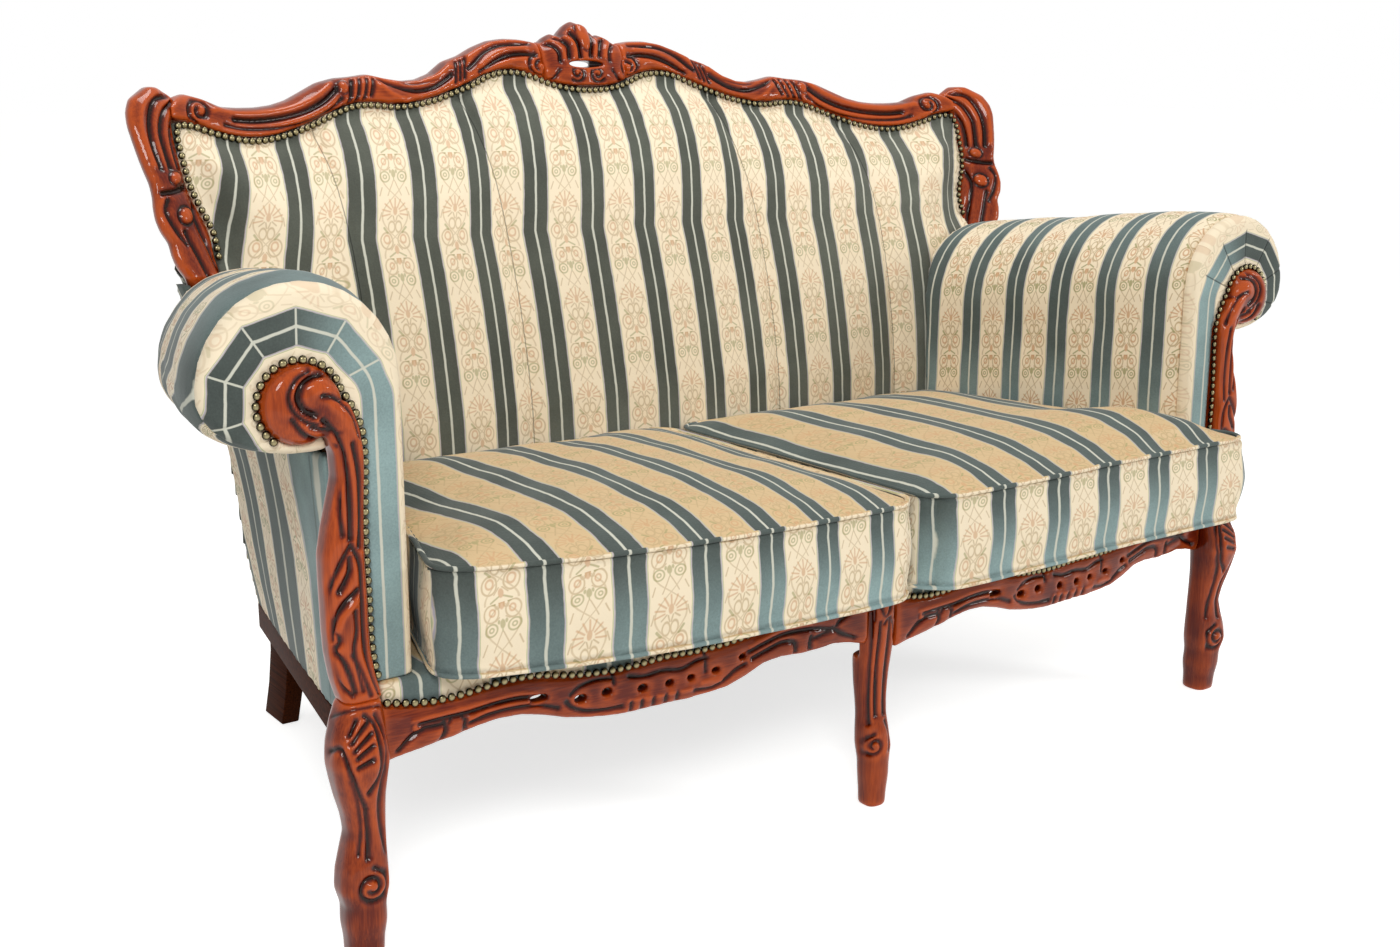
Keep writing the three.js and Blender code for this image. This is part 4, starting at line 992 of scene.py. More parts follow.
def eased(line: Points, steps: int = 5) -> Points:
    """Leads a smooth curve through a line's points.

    Args:
        line: the points.
        steps: how many points each stretch gets.

    Returns:
        The finer line.
    """
    if len(line) < 3:
        return line
    ends = np.vstack([2 * line[0] - line[1], line, 2 * line[-1] - line[-2]])
    out = []
    for a, b, c, d in zip(ends[:-3], ends[1:-2], ends[2:-1], ends[3:]):
        for s in np.arange(steps) / steps:
            bend = (2 * a - 5 * b + 4 * c - d) * s**2 + (3 * b - a - 3 * c + d) * s**3
            out.append(0.5 * (2 * b + (c - a) * s + bend))
    return np.array([*out, line[-1]])


def spiral(x: float, z: float, start: float, end: float, turns: float,
           turn0: float) -> tuple[tuple[float, float], ...]:
    """Returns the points of a volute.

    Args:
        x: centre across.
        z: centre height.
        start: outer radius in mm.
        end: inner radius in mm.
        turns: how many turns, negative for clockwise.
        turn0: starting direction in degrees.

    Returns:
        Points in mm.
    """
    out = []
    for share in np.linspace(0, 1, 14):
        r = start + (end - start) * share
        a = math.radians(turn0) + 2 * math.pi * turns * share
        out.append((x + r * math.cos(a), z + r * math.sin(a)))
    return tuple(out)


CREST_CUTS = (
    Cut(((90, 1003), (111, 1001), (143, 999), (171, 988), (192, 972), (204, 964)), -4.5, 3.0),
    Cut(((92, 1010), (112, 1007), (147, 1006), (178, 995), (200, 980)), 2.0, 4.0),
    Cut(((84, 984), (106, 986), (132, 983), (157, 974), (184, 958)), -4.5, 3.2),
    Cut(((100, 994), (128, 992), (155, 983), (182, 968)), 1.8, 4.0),
    Cut(((104, 978), (130, 975), (159, 964), (190, 949)), 1.6, 4.0),
    Cut(spiral(80, 967, 20, 5, -1.35, 75), -4.0, 2.8),
    Knob(80, 966, 5.5, 3.5),
    Cut(((205, 985), (213, 950)), -4.0, 2.4),
    Cut(((213, 981), (221, 946)), -4.0, 2.4),
    Cut(((221, 977), (229, 943)), -4.0, 2.4),
    Cut(((233, 955), (250, 945), (270, 936), (300, 932), (332, 940), (352, 951)), -5.0, 3.6),
    Cut(((236, 966), (262, 951), (300, 946), (328, 955), (346, 961)), 2.2, 4.0),
    Cut(((222, 940), (244, 925), (272, 914), (303, 913), (334, 925), (352, 939)), 1.8, 4.0),
    Cut(((226, 962), (250, 951), (280, 943), (306, 941), (334, 949)), -2.0, 2.2),
    Cut(((357, 966), (362, 945), (370, 925)), -4.5, 2.6),
    Cut(((369, 962), (374, 940), (382, 920)), -3.5, 2.4),
    Cut(((381, 957), (387, 936), (395, 915)), -3.5, 2.4),
    Cut(((394, 953), (400, 935), (405, 915)), -4.5, 2.6),
    Knob(413, 936, 8, 3.0),
    Cut(((424, 934), (448, 917), (480, 904), (520, 896), (560, 893), (590, 895)), -5.0, 3.6),
    Cut(((418, 921), (440, 903), (474, 889), (524, 882), (576, 882), (606, 888)), -3.6, 2.8),
    Cut(((430, 942), (455, 925), (490, 911), (530, 904), (580, 902), (618, 908)), 2.0, 4.0),
    Cut(((424, 912), (446, 896), (480, 884), (528, 877), (582, 876), (624, 882), (640, 896)), 2.0, 4.0),
    Cut(spiral(640, 907, 19, 5, 1.25, -60), -4.0, 2.8),
    Knob(640, 907, 6, 3.0),
)

HORN_CUTS = (
    Knob(672, 908, 9, 4.5),
    Cut(((684, 926), (706, 921), (719, 898), (722, 870), (716, 838)), -4.5, 3.0),
    Cut(((678, 918), (696, 905), (706, 882), (705, 860), (702, 838)), -4.5, 3.0),
    Cut(((662, 893), (680, 893), (690, 878), (691, 855), (689, 838)), -4.0, 2.8),
    Cut(((700, 929), (722, 918), (733, 893), (731, 865), (726, 842)), 1.8, 4.0),
    Knob(699, 825, 8, 4.0),
    Cut(((681, 815), (700, 810), (722, 808)), -4.5, 3.0),
    Knob(695, 779, 10, 4.5),
    Cut(((716, 800), (722, 785), (712, 762), (700, 745)), -3.5, 3.0),
    Cut(((676, 799), (680, 775), (672, 748), (662, 720), (650, 690)), -4.0, 3.0),
    Cut(((700, 760), (690, 735), (680, 710), (668, 680)), -4.0, 3.0),
    Cut(((664, 790), (660, 765), (650, 738)), -2.8, 2.6),
)

CARTOUCHE_CUTS = (
    Cut(((-30, 1022), (-19, 1021), (-11, 1012), (-8, 999), (-9, 982)), -6.0, 3.2),
    Cut(((-42, 1014), (-26, 1011), (-17, 1003), (-15, 992), (-18, 981)), 2.6, 3.6),
    Cut(((-48, 1012), (-35, 1008), (-27, 998), (-29, 981)), -5.0, 2.6),
    Cut(((-58, 1007), (-46, 1002), (-38, 992), (-38, 979)), 2.0, 3.2),
    Cut(((-65, 1003), (-52, 998), (-45, 988), (-46, 976)), -4.5, 2.6),
    Knob(6, 1014, 13, 4.0, 1.6),
    Cut(((19, 1019), (16, 1003), (10, 984)), -5.0, 2.8),
    Cut(((30, 1012), (25, 1002), (18, 985)), 2.4, 3.4),
    Cut(((41, 1010), (33, 1000), (26, 984)), -5.0, 2.6),
    Cut(((50, 1004), (42, 995), (36, 982)), 2.2, 3.2),
    Cut(((57, 1000), (48, 990), (45, 977)), -4.5, 2.6),
    Cut(spiral(-20, 958, 14, 3, 1.3, -130), -3.8, 2.4),
    Knob(-20, 959, 4.5, 2.5),
    Cut(spiral(16, 957, 14, 3, -1.3, -40), -3.8, 2.4),
    Knob(16, 958, 4.5, 2.5),
    Cut(((-50, 962), (-60, 950), (-66, 944)), -3.0, 2.6),
    Cut(((46, 962), (55, 950), (62, 945)), -3.0, 2.6),
)

POST_CUTS = (
    Cut(((740, 656), (752, 654), (763, 647), (769, 634), (764, 621), (753, 614)), -6.0, 3.6),
    Cut(((752, 661), (768, 653), (778, 638), (775, 622), (764, 610), (750, 603)), -4.0, 2.6),
    Cut(((742, 640), (728, 628), (714, 608)), 4.5, 11.0),
    Cut(((744, 634), (732, 630), (718, 617), (708, 600), (703, 588)), -4.5, 2.2),
    Cut(((776, 612), (764, 595), (746, 584), (732, 578)), -4.0, 2.8),
    Cut(((757, 602), (742, 597), (728, 592)), -3.5, 2.6),
    Cut(((744, 608), (730, 590), (722, 560), (720, 520), (721, 480)), -4.5, 2.8),
    Cut(((733, 572), (731, 545), (731, 510), (729, 485)), -3.6, 2.4),
    Cut(((713, 580), (708, 545), (708, 500), (711, 470)), -3.6, 2.6),
    Cut(((721, 474), (735, 452), (749, 423), (755, 395), (755, 366), (752, 334), (748, 300)), -3.6, 2.6),
    Cut(((721, 474), (712, 454), (710, 429), (711, 389), (710, 357), (703, 328), (694, 304)), -3.6, 2.6),
    Cut(((723, 460), (724, 446), (729, 436), (736, 425)), -4.0, 2.8),
    Cut(((715, 424), (731, 412), (743, 393), (747, 373)), -4.0, 2.8),
    Cut(((718, 412), (733, 398), (741, 378)), 2.2, 3.2),
    Cut(((719, 401), (719, 380), (723, 360), (720, 338), (715, 312)), -3.0, 2.2),
    Cut(((741, 380), (738, 371), (744, 361), (736, 350), (729, 333), (724, 312)), -3.8, 2.6),
    Cut(((750, 372), (748, 344), (739, 321), (727, 309)), -3.6, 2.4),
    Cut(((725, 354), (714, 330), (706, 305)), -3.0, 2.4),
)

LEG_CUTS = (
    Cut(((757, 257), (748, 256), (742, 243), (736, 223), (728, 200), (720, 178)), -3.6, 2.6),
    Cut(((735, 268), (727, 282)), -4.0, 2.6),
    Cut(((732, 258), (713, 278)), -4.0, 2.6),
    Cut(((729, 247), (709, 264)), -4.0, 2.6),
    Cut(((726, 238), (708, 249)), -4.0, 2.6),
    Cut(((726, 227), (710, 232)), -4.0, 2.6),
    Cut(((717, 286), (706, 274), (701, 255), (698, 229), (703, 211), (716, 196)), -3.6, 2.4),
    Cut(((705, 285), (696, 264), (692, 243), (695, 221), (701, 203), (705, 180), (704, 155), (699, 126)),
        -3.0, 2.4),
    Cut(((721, 180), (720, 152), (721, 122)), -3.6, 2.6),
    Cut(((736, 215), (730, 190), (728, 160), (732, 130)), -2.4, 2.4),
    Cut(spiral(717, 87, 22, 5, 1.6, 100), -4.0, 3.0),
    Knob(717, 87, 7, 3.0),
    Cut(((760, 296), (735, 296), (700, 294), (680, 294)), -2.0, 1.8),
)

CENTRE_LEG_CUTS = (
    Cut(((-8, 258), (-9, 200), (-8, 130)), -3.8, 2.6),
    Cut(((8, 262), (7, 200), (6, 130)), -3.8, 2.6),
    Cut(((-20, 275), (-19, 200), (-18, 120)), -2.8, 2.4),
    Cut(((-17, 286), (-17, 262)), -2.6, 2.2),
    Cut(((17, 286), (17, 262)), -2.6, 2.2),
    Cut(((-8, 280), (0, 266), (8, 280)), -3.0, 2.4),
    Cut(((0, 286), (0, 268)), 2.0, 3.0),
    Cut(((-2, 255), (6, 262), (14, 255), (18, 235)), -3.0, 2.4),
    Cut(spiral(-12, 88, 16, 4, 1.4, 90), -3.4, 2.6),
    Knob(-12, 88, 5, 2.4),
    Cut(((8, 120), (14, 100), (12, 78)), -2.8, 2.6),
)

APRON_CUTS = (
    Cut(((-654, 260), (-619, 262), (-589, 264), (-558, 267), (-531, 268), (-507, 264)), 2.0, 3.0),
    Cut(((-648, 255), (-619, 257), (-589, 258), (-558, 262), (-531, 263), (-509, 261)), -3.8, 2.4),
    Cut(((-589, 251), (-566, 257), (-539, 258), (-511, 256)), 1.8, 3.0),
    Cut(((-588, 245), (-566, 250), (-539, 252), (-506, 250), (-480, 241)), -3.2, 2.6),
    Cut(((-672, 229), (-657, 243), (-642, 249), (-621, 250)), -3.8, 2.6),
    Cut(((-619, 253), (-617, 243), (-621, 231)), -3.8, 2.4),
    Cut(((-614, 250), (-608, 257), (-599, 256), (-593, 248)), -2.6, 2.2),
    Cut(((-593, 250), (-594, 241), (-591, 232)), -3.8, 2.4),
    Knob(-650, 253, 6, 2.4),
    Cut(((-469, 246), (-461, 238), (-445, 230), (-420, 226), (-396, 226)), -3.6, 2.6),
    Cut(((-464, 254), (-452, 262), (-430, 266), (-408, 264)), -2.6, 2.2),
    Cut(((-407, 273), (-407, 257)), -3.0, 1.8),
    Cut(((-386, 262), (-366, 258), (-341, 260), (-315, 257), (-292, 263), (-278, 264)), -3.4, 2.4),
    Cut(((-280, 270), (-280, 248)), -3.0, 1.8),
    Cut(((-387, 232), (-357, 230), (-320, 229), (-300, 229)), 1.4, 2.4),
    *(Cut(((x, 229), (x + 1, 214)), -3.0, 1.8) for x in (-384, -369, -353, -336, -320)),
    Cut(((-294, 225), (-270, 223), (-251, 231), (-236, 240), (-221, 245)), -3.6, 2.4),
    Cut(((-285, 234), (-270, 234), (-256, 230)), 1.6, 2.6),
    Cut(((-216, 259), (-191, 266), (-161, 272), (-121, 271), (-86, 265)), -3.8, 2.6),
    Cut(((-211, 250), (-186, 257), (-166, 262), (-147, 259), (-142, 243)), -3.8, 2.6),
    Cut(((-214, 266), (-190, 273), (-160, 279), (-120, 279)), 1.6, 3.0),
    Cut(((-119, 261), (-121, 251), (-118, 241)), -3.8, 2.4),
    Cut(((-84, 266), (-70, 256), (-47, 245)), -3.8, 2.6),
    Cut(((-116, 258), (-94, 262), (-75, 262)), -2.6, 2.4),
    Cut(((-78, 267), (-73, 273), (-57, 280)), -3.4, 2.4),
)


@dataclass(frozen=True)
class CarvedPiece:
    """A piece of the show frame, cut from its solid's own outline."""

    node_name: str
    name: str
    cuts: tuple[Cut | Knob, ...]
    flip: float = 1.0
    shift: float = 0.0
    slant: tuple[float, float] = (0.0, 0.0)
    plane: float = 0.0
    voxel: float = 2.2
    facing: tuple[float, float] = (0.15, 0.6)
    smooth: int = 28
    swell: float = 0.8
    full_relief: float = 14.0
    ridge_share: float = 0.55
    ridge_rounds: int = 26

    def seen(self, points: Points) -> tuple[Points, Points]:
        """Finds the places on the pattern, which is drawn as seen from the front.

        Args:
            points: places in mm.

        Returns:
            The places across and their heights on the pattern.
        """
        away = self.plane - points[:, 1]
        x = self.flip * points[:, 0] - self.shift
        return x + away * self.slant[0], points[:, 2] + away * self.slant[1]

    def build(self, cover: bpy.types.Material) -> None:
        """Makes the piece and cuts the pattern into it.

        Args:
            cover: the wood's finish.
        """
        made = solid_copy([self.node_name], self.voxel, self.smooth, self.name)
        points, out = places(made.data), normals(made.data)
        x, z = self.seen(points)
        toward = -out[:, 1] - self.slant[0] * self.flip * out[:, 0]
        raised, sunk = np.zeros(len(points)), np.zeros(len(points))
        for cut in self.cuts:
            height = cut.height(x, z)
            raised = np.maximum(raised, height)
            sunk = np.minimum(sunk, height)
        carved = (raised + sunk) * blend(self.facing[0], self.facing[1], toward)
        set_places(made.data, points + out * (carved + self.swell)[:, None])
        ease(made, 1)
        made.data.shade_smooth()
        # Painted shade and highlight: carving depth plus the mesh's ridges and hollows, stored for the wood's
        # colour
        ridges = self.ridge_share * cavity(made.data, self.ridge_rounds)
        set_attribute(made.data, "relief", np.clip(carved / self.full_relief + ridges + 0.05, -0.75, 1))
        finish_piece(made, cover, "frame", self.node_name)


# Sub-assemblies


@dataclass(frozen=True)
class Studio:
    """Camera at the photograph's angle, pale floor, white surroundings and three soft lamps."""

    eye: tuple[float, float, float] = (-1.3853, -1.88895, 0.9359)
    tilt: float = 76.83
    turn: float = -35.557
    lens: float = 42.43
    sensor: float = 36.0
    ambient: float = 0.36
    floor_half: float = 60.0
    floor_drop: float = 0.5 * MM
    aim: tuple[float, float, float] = (0.0, 0.0, 0.45)
    lamps: tuple[tuple[str, tuple[float, float, float], float, float], ...] = (
        ("key", (-1.9, -2.6, 2.4), 1.0, 60),
        ("fill", (2.4, -2.3, 1.6), 0.7, 26),
        ("top", (0.2, 0.2, 2.9), 0.9, 26),
    )

    def build(self, finishes: Finishes) -> None:
        """Makes the camera, floor, world and lamps.

        Args:
            finishes: the finishes.
        """
        lens = bpy.data.cameras.new("camera")
        lens.lens, lens.sensor_width, lens.clip_start = self.lens, self.sensor, 0.05
        eye = linked("camera", lens)
        eye.location = self.eye
        eye.rotation_euler = (math.radians(self.tilt), 0, math.radians(self.turn))
        bpy.context.scene.camera = eye
        bm = bmesh.new()
        bmesh.ops.create_grid(bm, x_segments=2, y_segments=2, size=self.floor_half,
                              matrix=Matrix.Translation((0, 0, -self.floor_drop)))
        floor = linked("floor", written(bm, "floor"))
        floor.data.materials.append(finishes.floor)
        self.surroundings()
        for lamp in self.lamps:
            self.lamp(*lamp)

    def surroundings(self) -> None:
        """Makes a world that is white to the eye and softer on the sofa."""
        world = bpy.data.worlds.new("studio")
        bpy.context.scene.world = world
        world.use_nodes = True
        t = world.node_tree
        t.nodes.clear()
        strength = node(t, "MapRange", sight(t), 0.0, 1.0, self.ambient, 1.0)
        node(t, "OutputWorld", node(t, "Background", (1, 1, 1, 1), strength))
        bpy.context.scene.view_settings.view_transform = "Standard"

    def lamp(self, name: str, spot: tuple[float, float, float], size: float, power: float) -> None:
        """Adds one square soft lamp that faces the sofa.

        Args:
            name: the lamp's name.
            spot: where it hangs.
            size: its side in metres.
            power: watts.
        """
        light = bpy.data.lights.new(name, "AREA")
        light.size, light.energy = size, power
        made = linked(name, light)
        made.location = spot
        made.rotation_euler = (Vector(self.aim) - Vector(spot)).to_track_quat("-Z", "Y").to_euler()


@dataclass(frozen=True)
class ShowFrame:
    """Carved legs, aprons, arm posts, back stiles, crest rails and cartouche."""

    apron_step: float = 719.0
    leg_slant: tuple[float, float] = (-0.427, -0.5)
    leg_plane: float = -25.0
    centre_slant: tuple[float, float] = (0.25, -0.3)
    centre_plane: float = -45.0
    leg_facing: tuple[float, float] = (0.05, 0.5)

    def build(self, finishes: Finishes) -> None:
        """Cuts every carved piece.

        Args:
            finishes: the finishes.
        """
        upright, lying = finishes.carved, finishes.carved_across
        for side in Side:
            s, label = side.value, side.label
            CarvedPiece(f"front_leg_{label}", f"cabriole_leg_{label}", LEG_CUTS, s, 0, self.leg_slant,
                        self.leg_plane, 2.0, self.leg_facing).build(upright)
            CarvedPiece(f"arm_post_{label}", f"carved_post_{label}", POST_CUTS, s).build(upright)
            CarvedPiece(f"back_stile_{label}", f"horned_stile_{label}", HORN_CUTS, s).build(upright)
            CarvedPiece(f"crest_rail_{label}", f"scrolled_crest_{label}", CREST_CUTS, s).build(lying)
            shift = 0.0 if side is Side.LEFT else self.apron_step
            CarvedPiece(f"apron_{label}", f"pierced_apron_{label}", APRON_CUTS, 1.0, shift,
                        voxel=2.0).build(lying)
        CarvedPiece("crest_cartouche", "shell_cartouche", CARTOUCHE_CUTS + CREST_CUTS[5:7],
                    voxel=1.8).build(lying)
        CarvedPiece("centre_leg", "centre_cabriole_leg", CENTRE_LEG_CUTS, 1.0, 0, self.centre_slant,
                    self.centre_plane, 2.0, self.leg_facing).build(upright)


@dataclass(frozen=True)
class PlainFrame:
    """Rails, rear legs, blocks, webbing and lining, which keep their solids or get eased edges."""

    edge: float = 2.5
    wooden: tuple[str, ...] = ("back_rail", "front_rail", "seat_bearer", "corner_block", "arm_rail",
                               "back_upright", "back_cross")

    def build(self, finishes: Finishes) -> None:
        """Dresses the hidden and plain pieces.

        Args:
            finishes: the finishes.
        """
        for side in Side:
            for kind in ("side_rail", "rear_leg"):
                self.eased_board(f"{kind}_{side.label}", finishes.stained)
        covers = {**dict.fromkeys(self.wooden, finishes.inner), "seat_strap": finishes.webbing,
                  "dust_cover": finishes.lining}
        for name, each in NODES.items():
            for start, cover in covers.items():
                if name.startswith(start):
                    each.data.materials.clear()
                    each.data.materials.append(cover)

    def eased_board(self, name: str, cover: bpy.types.Material) -> None:
        """Rounds the edges of a plain board.

        Args:
            name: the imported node.
            cover: its finish.
        """
        made = solid_copy([name], 0, 0, f"{name}_board")
        bm = bmesh.new()
        bm.from_mesh(made.data)
        bmesh.ops.dissolve_limit(bm, angle_limit=0.02, verts=bm.verts, edges=bm.edges)
        sharp = [e for e in bm.edges if e.is_manifold and e.calc_face_angle(0) > 0.6]
        bmesh.ops.bevel(bm, geom=sharp, offset=self.edge * MM, offset_type="OFFSET", segments=3, profile=0.5,
                        affect="EDGES", material=-1, clamp_overlap=True)
        bm.to_mesh(made.data)
        bm.free()
        made.data.shade_smooth()
        finish_piece(made, cover, "frame", name)


@dataclass(frozen=True)
class BackUpholstery:
    """The sprung back: five channels sewn between the horns, and the stretched outside cover."""

    voxel: float = 5.0
    stripes: tuple[float, ...] = (-595, -504, -408, -315, -231, -136, -40, 48, 136, 215, 301, 390, 484, 577,
                                  670)
    seam_depth: float = 4.5
    seam_width: float = 5.0
    lean: float = 0.27
    lean_start: float = 735.0
    sunk: float = 12.0
    rails: tuple[str, ...] = ("scrolled_crest_left", "scrolled_crest_right", "shell_cartouche",
                              "horned_stile_left", "horned_stile_right")
    foot_heights: tuple[float, ...] = (480, 500, 540, 580, 620, 660, 700, 760)
    foot_edges: tuple[float, ...] = (612, 618, 632, 647, 662, 679, 699, 760)

    def build(self, finishes: Finishes) -> None:
        """Makes the inside and outside covers.

        Args:
            finishes: the finishes.
        """
        made = solid_copy(["back_pad"], self.voxel, 10, "back_channels")
        points, out = places(made.data), normals(made.data)
        front = blend(0.1, 0.5, -out[:, 1])
        off = np.min([np.abs(points[:, 0] - s) for s in BACK_SEAMS], axis=0)
        slack = 1.3 * rumple(points * (1.0, 1.0, 0.5), 90, 3) - self.seam_depth * bell(off, self.seam_width)
        set_places(made.data, points + out * (slack * front)[:, None])
        # Painted light: the back's pile is lighter towards the right and lower down
        brushed_pile_and_painted_light = 0.12 + 0.2 * blend(100, 600, points[:, 0]) + 0.2 * blend(520, 400, points[:, 2])
        set_attribute(made.data, "nap", brushed_pile_and_painted_light)
        wing = blend(475, 520, -points[:, 0])
        x = points[:, 0] - self.lean * np.clip(points[:, 2] - self.lean_start, -80 * wing, 250)
        set_weave(made.data, striped(x, self.stripes), points[:, 2] / REPEAT + 0.28)
        finish_piece(made, finishes.back_cloth, "frame", "back_pad")
        self.outside(finishes)

    def outside(self, finishes: Finishes) -> None:
        """Makes the outside cover, tucked in under the crest and between the stiles' feet.

        Args:
            finishes: the finishes.
        """
        outside = solid_copy(["outside_back"], 1.3 * self.voxel, 4, "outside_back_cover")
        points = places(outside.data)
        wood = np.vstack([places(bpy.data.objects[name].data) for name in self.rails])
        half, step = 800, 10
        tops = np.full(2 * half // step, -np.inf)
        np.maximum.at(tops, np.clip((wood[:, 0] + half) // step, 0, len(tops) - 1).astype(int), wood[:, 2])
        known = np.flatnonzero(np.isfinite(tops))
        ceiling = np.interp(points[:, 0], known * step - half + step / 2, tops[known] - self.sunk)
        points[:, 2] = np.minimum(points[:, 2], ceiling)
        limit = np.interp(points[:, 2], self.foot_heights, self.foot_edges)
        points[:, 0] = np.clip(points[:, 0], -limit, limit)
        set_places(outside.data, points)
        set_weave(outside.data, points[:, 0] / PERIOD, points[:, 2] / REPEAT)
        finish_piece(outside, finishes.back_cloth, "frame", "outside_back")


@dataclass(frozen=True)
class ArmUpholstery:
    """One arm: the rolled pad, its pleated front facing and the outside panel."""

    side: Side
    voxel: float = 5.0
    facing_voxel: float = 2.6
    roll_middle: tuple[float, float] = (758.0, 640.0)
    roll_sink: tuple[float, float] = (117.0, 48.0)
    roll_length: float = 450.0
    roll_radius: float = 120.0
    roll_start: float = -0.6
    head: tuple[float, float] = (762.0, 624.3)
    left_bands: tuple[tuple[float, float], ...] = ((-100, -70), (97, 181), (292, 361), (440, 500))
    right_stripes: tuple[float, ...] = (-58, 19, 96, 171, 251, 324, 401, 478)
    right_period: float = 77.0
    under_shift: float = 140.0
    outer_bands: tuple[tuple[float, float], ...] = ((-130, -100), (150, 232), (374, 448), (556, 638))
    outer_lean: float = 0.35
    outer_crease: float = 84.0
    ring_radius: float = 95.0
    ring_marks: tuple[float, ...] = (5.9, 5.705, 5.5, 5.295, 5.0)
    ring_places: tuple[float, ...] = (40, 60, 79, 98, 120)
    strip_marks: tuple[float, ...] = (5.82, 5.705, 5.5, 5.295, 5.05)
    strip_places: tuple[float, ...] = (60, 69, 83, 105, 122)
    pleat_depth: float = 1.8
    pleat_width: float = 2.6
    pleat_reach: tuple[float, float, float] = (52.0, 96.0, 104.0)
    outer_folds: tuple[float, float] = (-12.0, 252.0)

    def cross(self, points: Points) -> Points:
        """Measures the pad's cross section, up the inside and over the roll, whose middle sinks to the back.

        Args:
            points: places in mm, with X positive on this side.

        Returns:
            Length in mm, 0 at the roll's middle height on the inside.
        """
        share = np.clip(points[:, 1] / self.roll_length, 0, 1)
        dx = self.roll_middle[0] - self.roll_sink[0] * share - points[:, 0]
        dz = points[:, 2] - self.roll_middle[1] + self.roll_sink[1] * share
        around = np.arctan2(dz, dx)
        around = np.where(around < self.roll_start, around + 2 * math.pi, around)
        return np.where((dz < 0) & (dx > 20), dz, around * self.roll_radius)

    def build(self, finishes: Finishes) -> None:
        """Makes the arm's three covers.

        Args:
            finishes: the finishes.
        """
        label = self.side.label
        pad = solid_copy([f"arm_pad_{label}"], self.voxel, 8, f"arm_roll_{label}")
        points, out = places(pad.data), normals(pad.data)
        slack = 1.4 * rumple(points, 80, 5 + self.side.value)
        set_places(pad.data, points + out * slack[:, None])
        flipped = points * (self.side.value, 1, 1)
        z = points[:, 2]
        depth = points[:, 1] - self.under_shift * blend(650, 585, z) * blend(750, 790, flipped[:, 0])
        if self.side is Side.LEFT:
            u = banded(depth, self.left_bands)
        else:
            u = striped(depth, self.right_stripes, self.right_period)
        # Painted light: the roll's pile is lighter low on the inside and over its top
        set_attribute(pad.data, "nap", 0.15 + 0.55 * blend(560, 430, z) + 0.3 * blend(650, 745, z))
        set_weave(pad.data, u, self.cross(flipped) / REPEAT + 0.2)
        finish_piece(pad, finishes.arm_cloth, "frame", f"arm_pad_{label}")
        self.facing(finishes)
        panel = solid_copy([f"outside_arm_{label}"], self.voxel, 4, f"outside_arm_cover_{label}")
        points = places(panel.data)
        y, z = points[:, 1], points[:, 2]
        lean = self.outer_lean * np.clip(z - 400, 0, 100) * blend(330, 230, y)
        set_weave(panel.data, banded(y - lean, self.outer_bands), z / REPEAT + 0.4)
        # Painted shade: a dark line along the panel's fold
        set_attribute(panel.data, "crease", 0.8 * bell(y - self.outer_crease, 3.0))
        # Painted light: the outside panel's pile is lighter towards the front
        set_attribute(panel.data, "nap", 0.15 + 0.65 * blend(230, 130, y))
        finish_piece(panel, finishes.arm_cloth, "frame", f"outside_arm_{label}")

    def facing(self, finishes: Finishes) -> None:
        """Makes the pleated front facing, whose stripe is turned round the scroll in straight folds.

        Args:
            finishes: the finishes.
        """
        label = self.side.label
        made = solid_copy([f"arm_facing_{label}"], self.facing_voxel, 8, f"arm_facing_cover_{label}")
        points, out = places(made.data), normals(made.data)
        dx, z = self.head[0] - points[:, 0] * self.side.value, points[:, 2]
        dz = z - self.head[1]
        far = np.hypot(dx, dz)
        turn = np.degrees(np.arctan2(dz, dx)) % 360
        turn = np.where(turn > 300, turn - 360, turn)
        marks = np.array([self.outer_folds[0], *PLEATS, self.outer_folds[1]])
        slot = np.clip(np.searchsorted(marks, turn) - 1, 0, len(marks) - 2)
        middle, half = (marks[slot] + marks[slot + 1]) / 2, (marks[slot + 1] - marks[slot]) / 2
        chord = np.cos(np.radians(half)) / np.cos(np.radians(np.clip(turn - middle, -half, half)))
        flat = far / np.where((turn > marks[1]) & (turn < marks[-2]), chord, 1.0)
        low = (1 - blend(618, 655, z)) * (dx > 0)
        u = np.interp(flat, self.ring_places, self.ring_marks) * (1 - low)
        u += np.interp(dx, self.strip_places, self.strip_marks) * low
        v = np.where((dz < 0) & (dx > 0), dz, np.radians(turn) * self.ring_radius) / REPEAT
        set_weave(made.data, u, v)
        off = np.radians(np.min([np.abs(turn - p) for p in PLEATS], axis=0)) * far
        inner, fading, outer = self.pleat_reach
        front = blend(0.2, 0.6, -out[:, 1]) * (flat > inner) * (1 - blend(fading, outer, flat))
        fold = self.pleat_depth * bell(off, self.pleat_width) * front * (turn > 10) * (turn < 240)
        set_places(made.data, points - out * fold[:, None])
        set_attribute(made.data, "turn", turn)
        set_attribute(made.data, "reach", np.where(z < 600, 200, flat))
        # Painted light and shade round the facing, by the angle on the scroll
        lit = np.where(turn < 90, 1 - blend(20, 100, turn), blend(200, 260, turn) * 0.5)
        set_attribute(made.data, "nap", 0.08 + 0.85 * np.where(low > 0.5, 1.0, lit))
        finish_piece(made, finishes.facing_cloth[self.side], "frame", f"arm_facing_{label}")


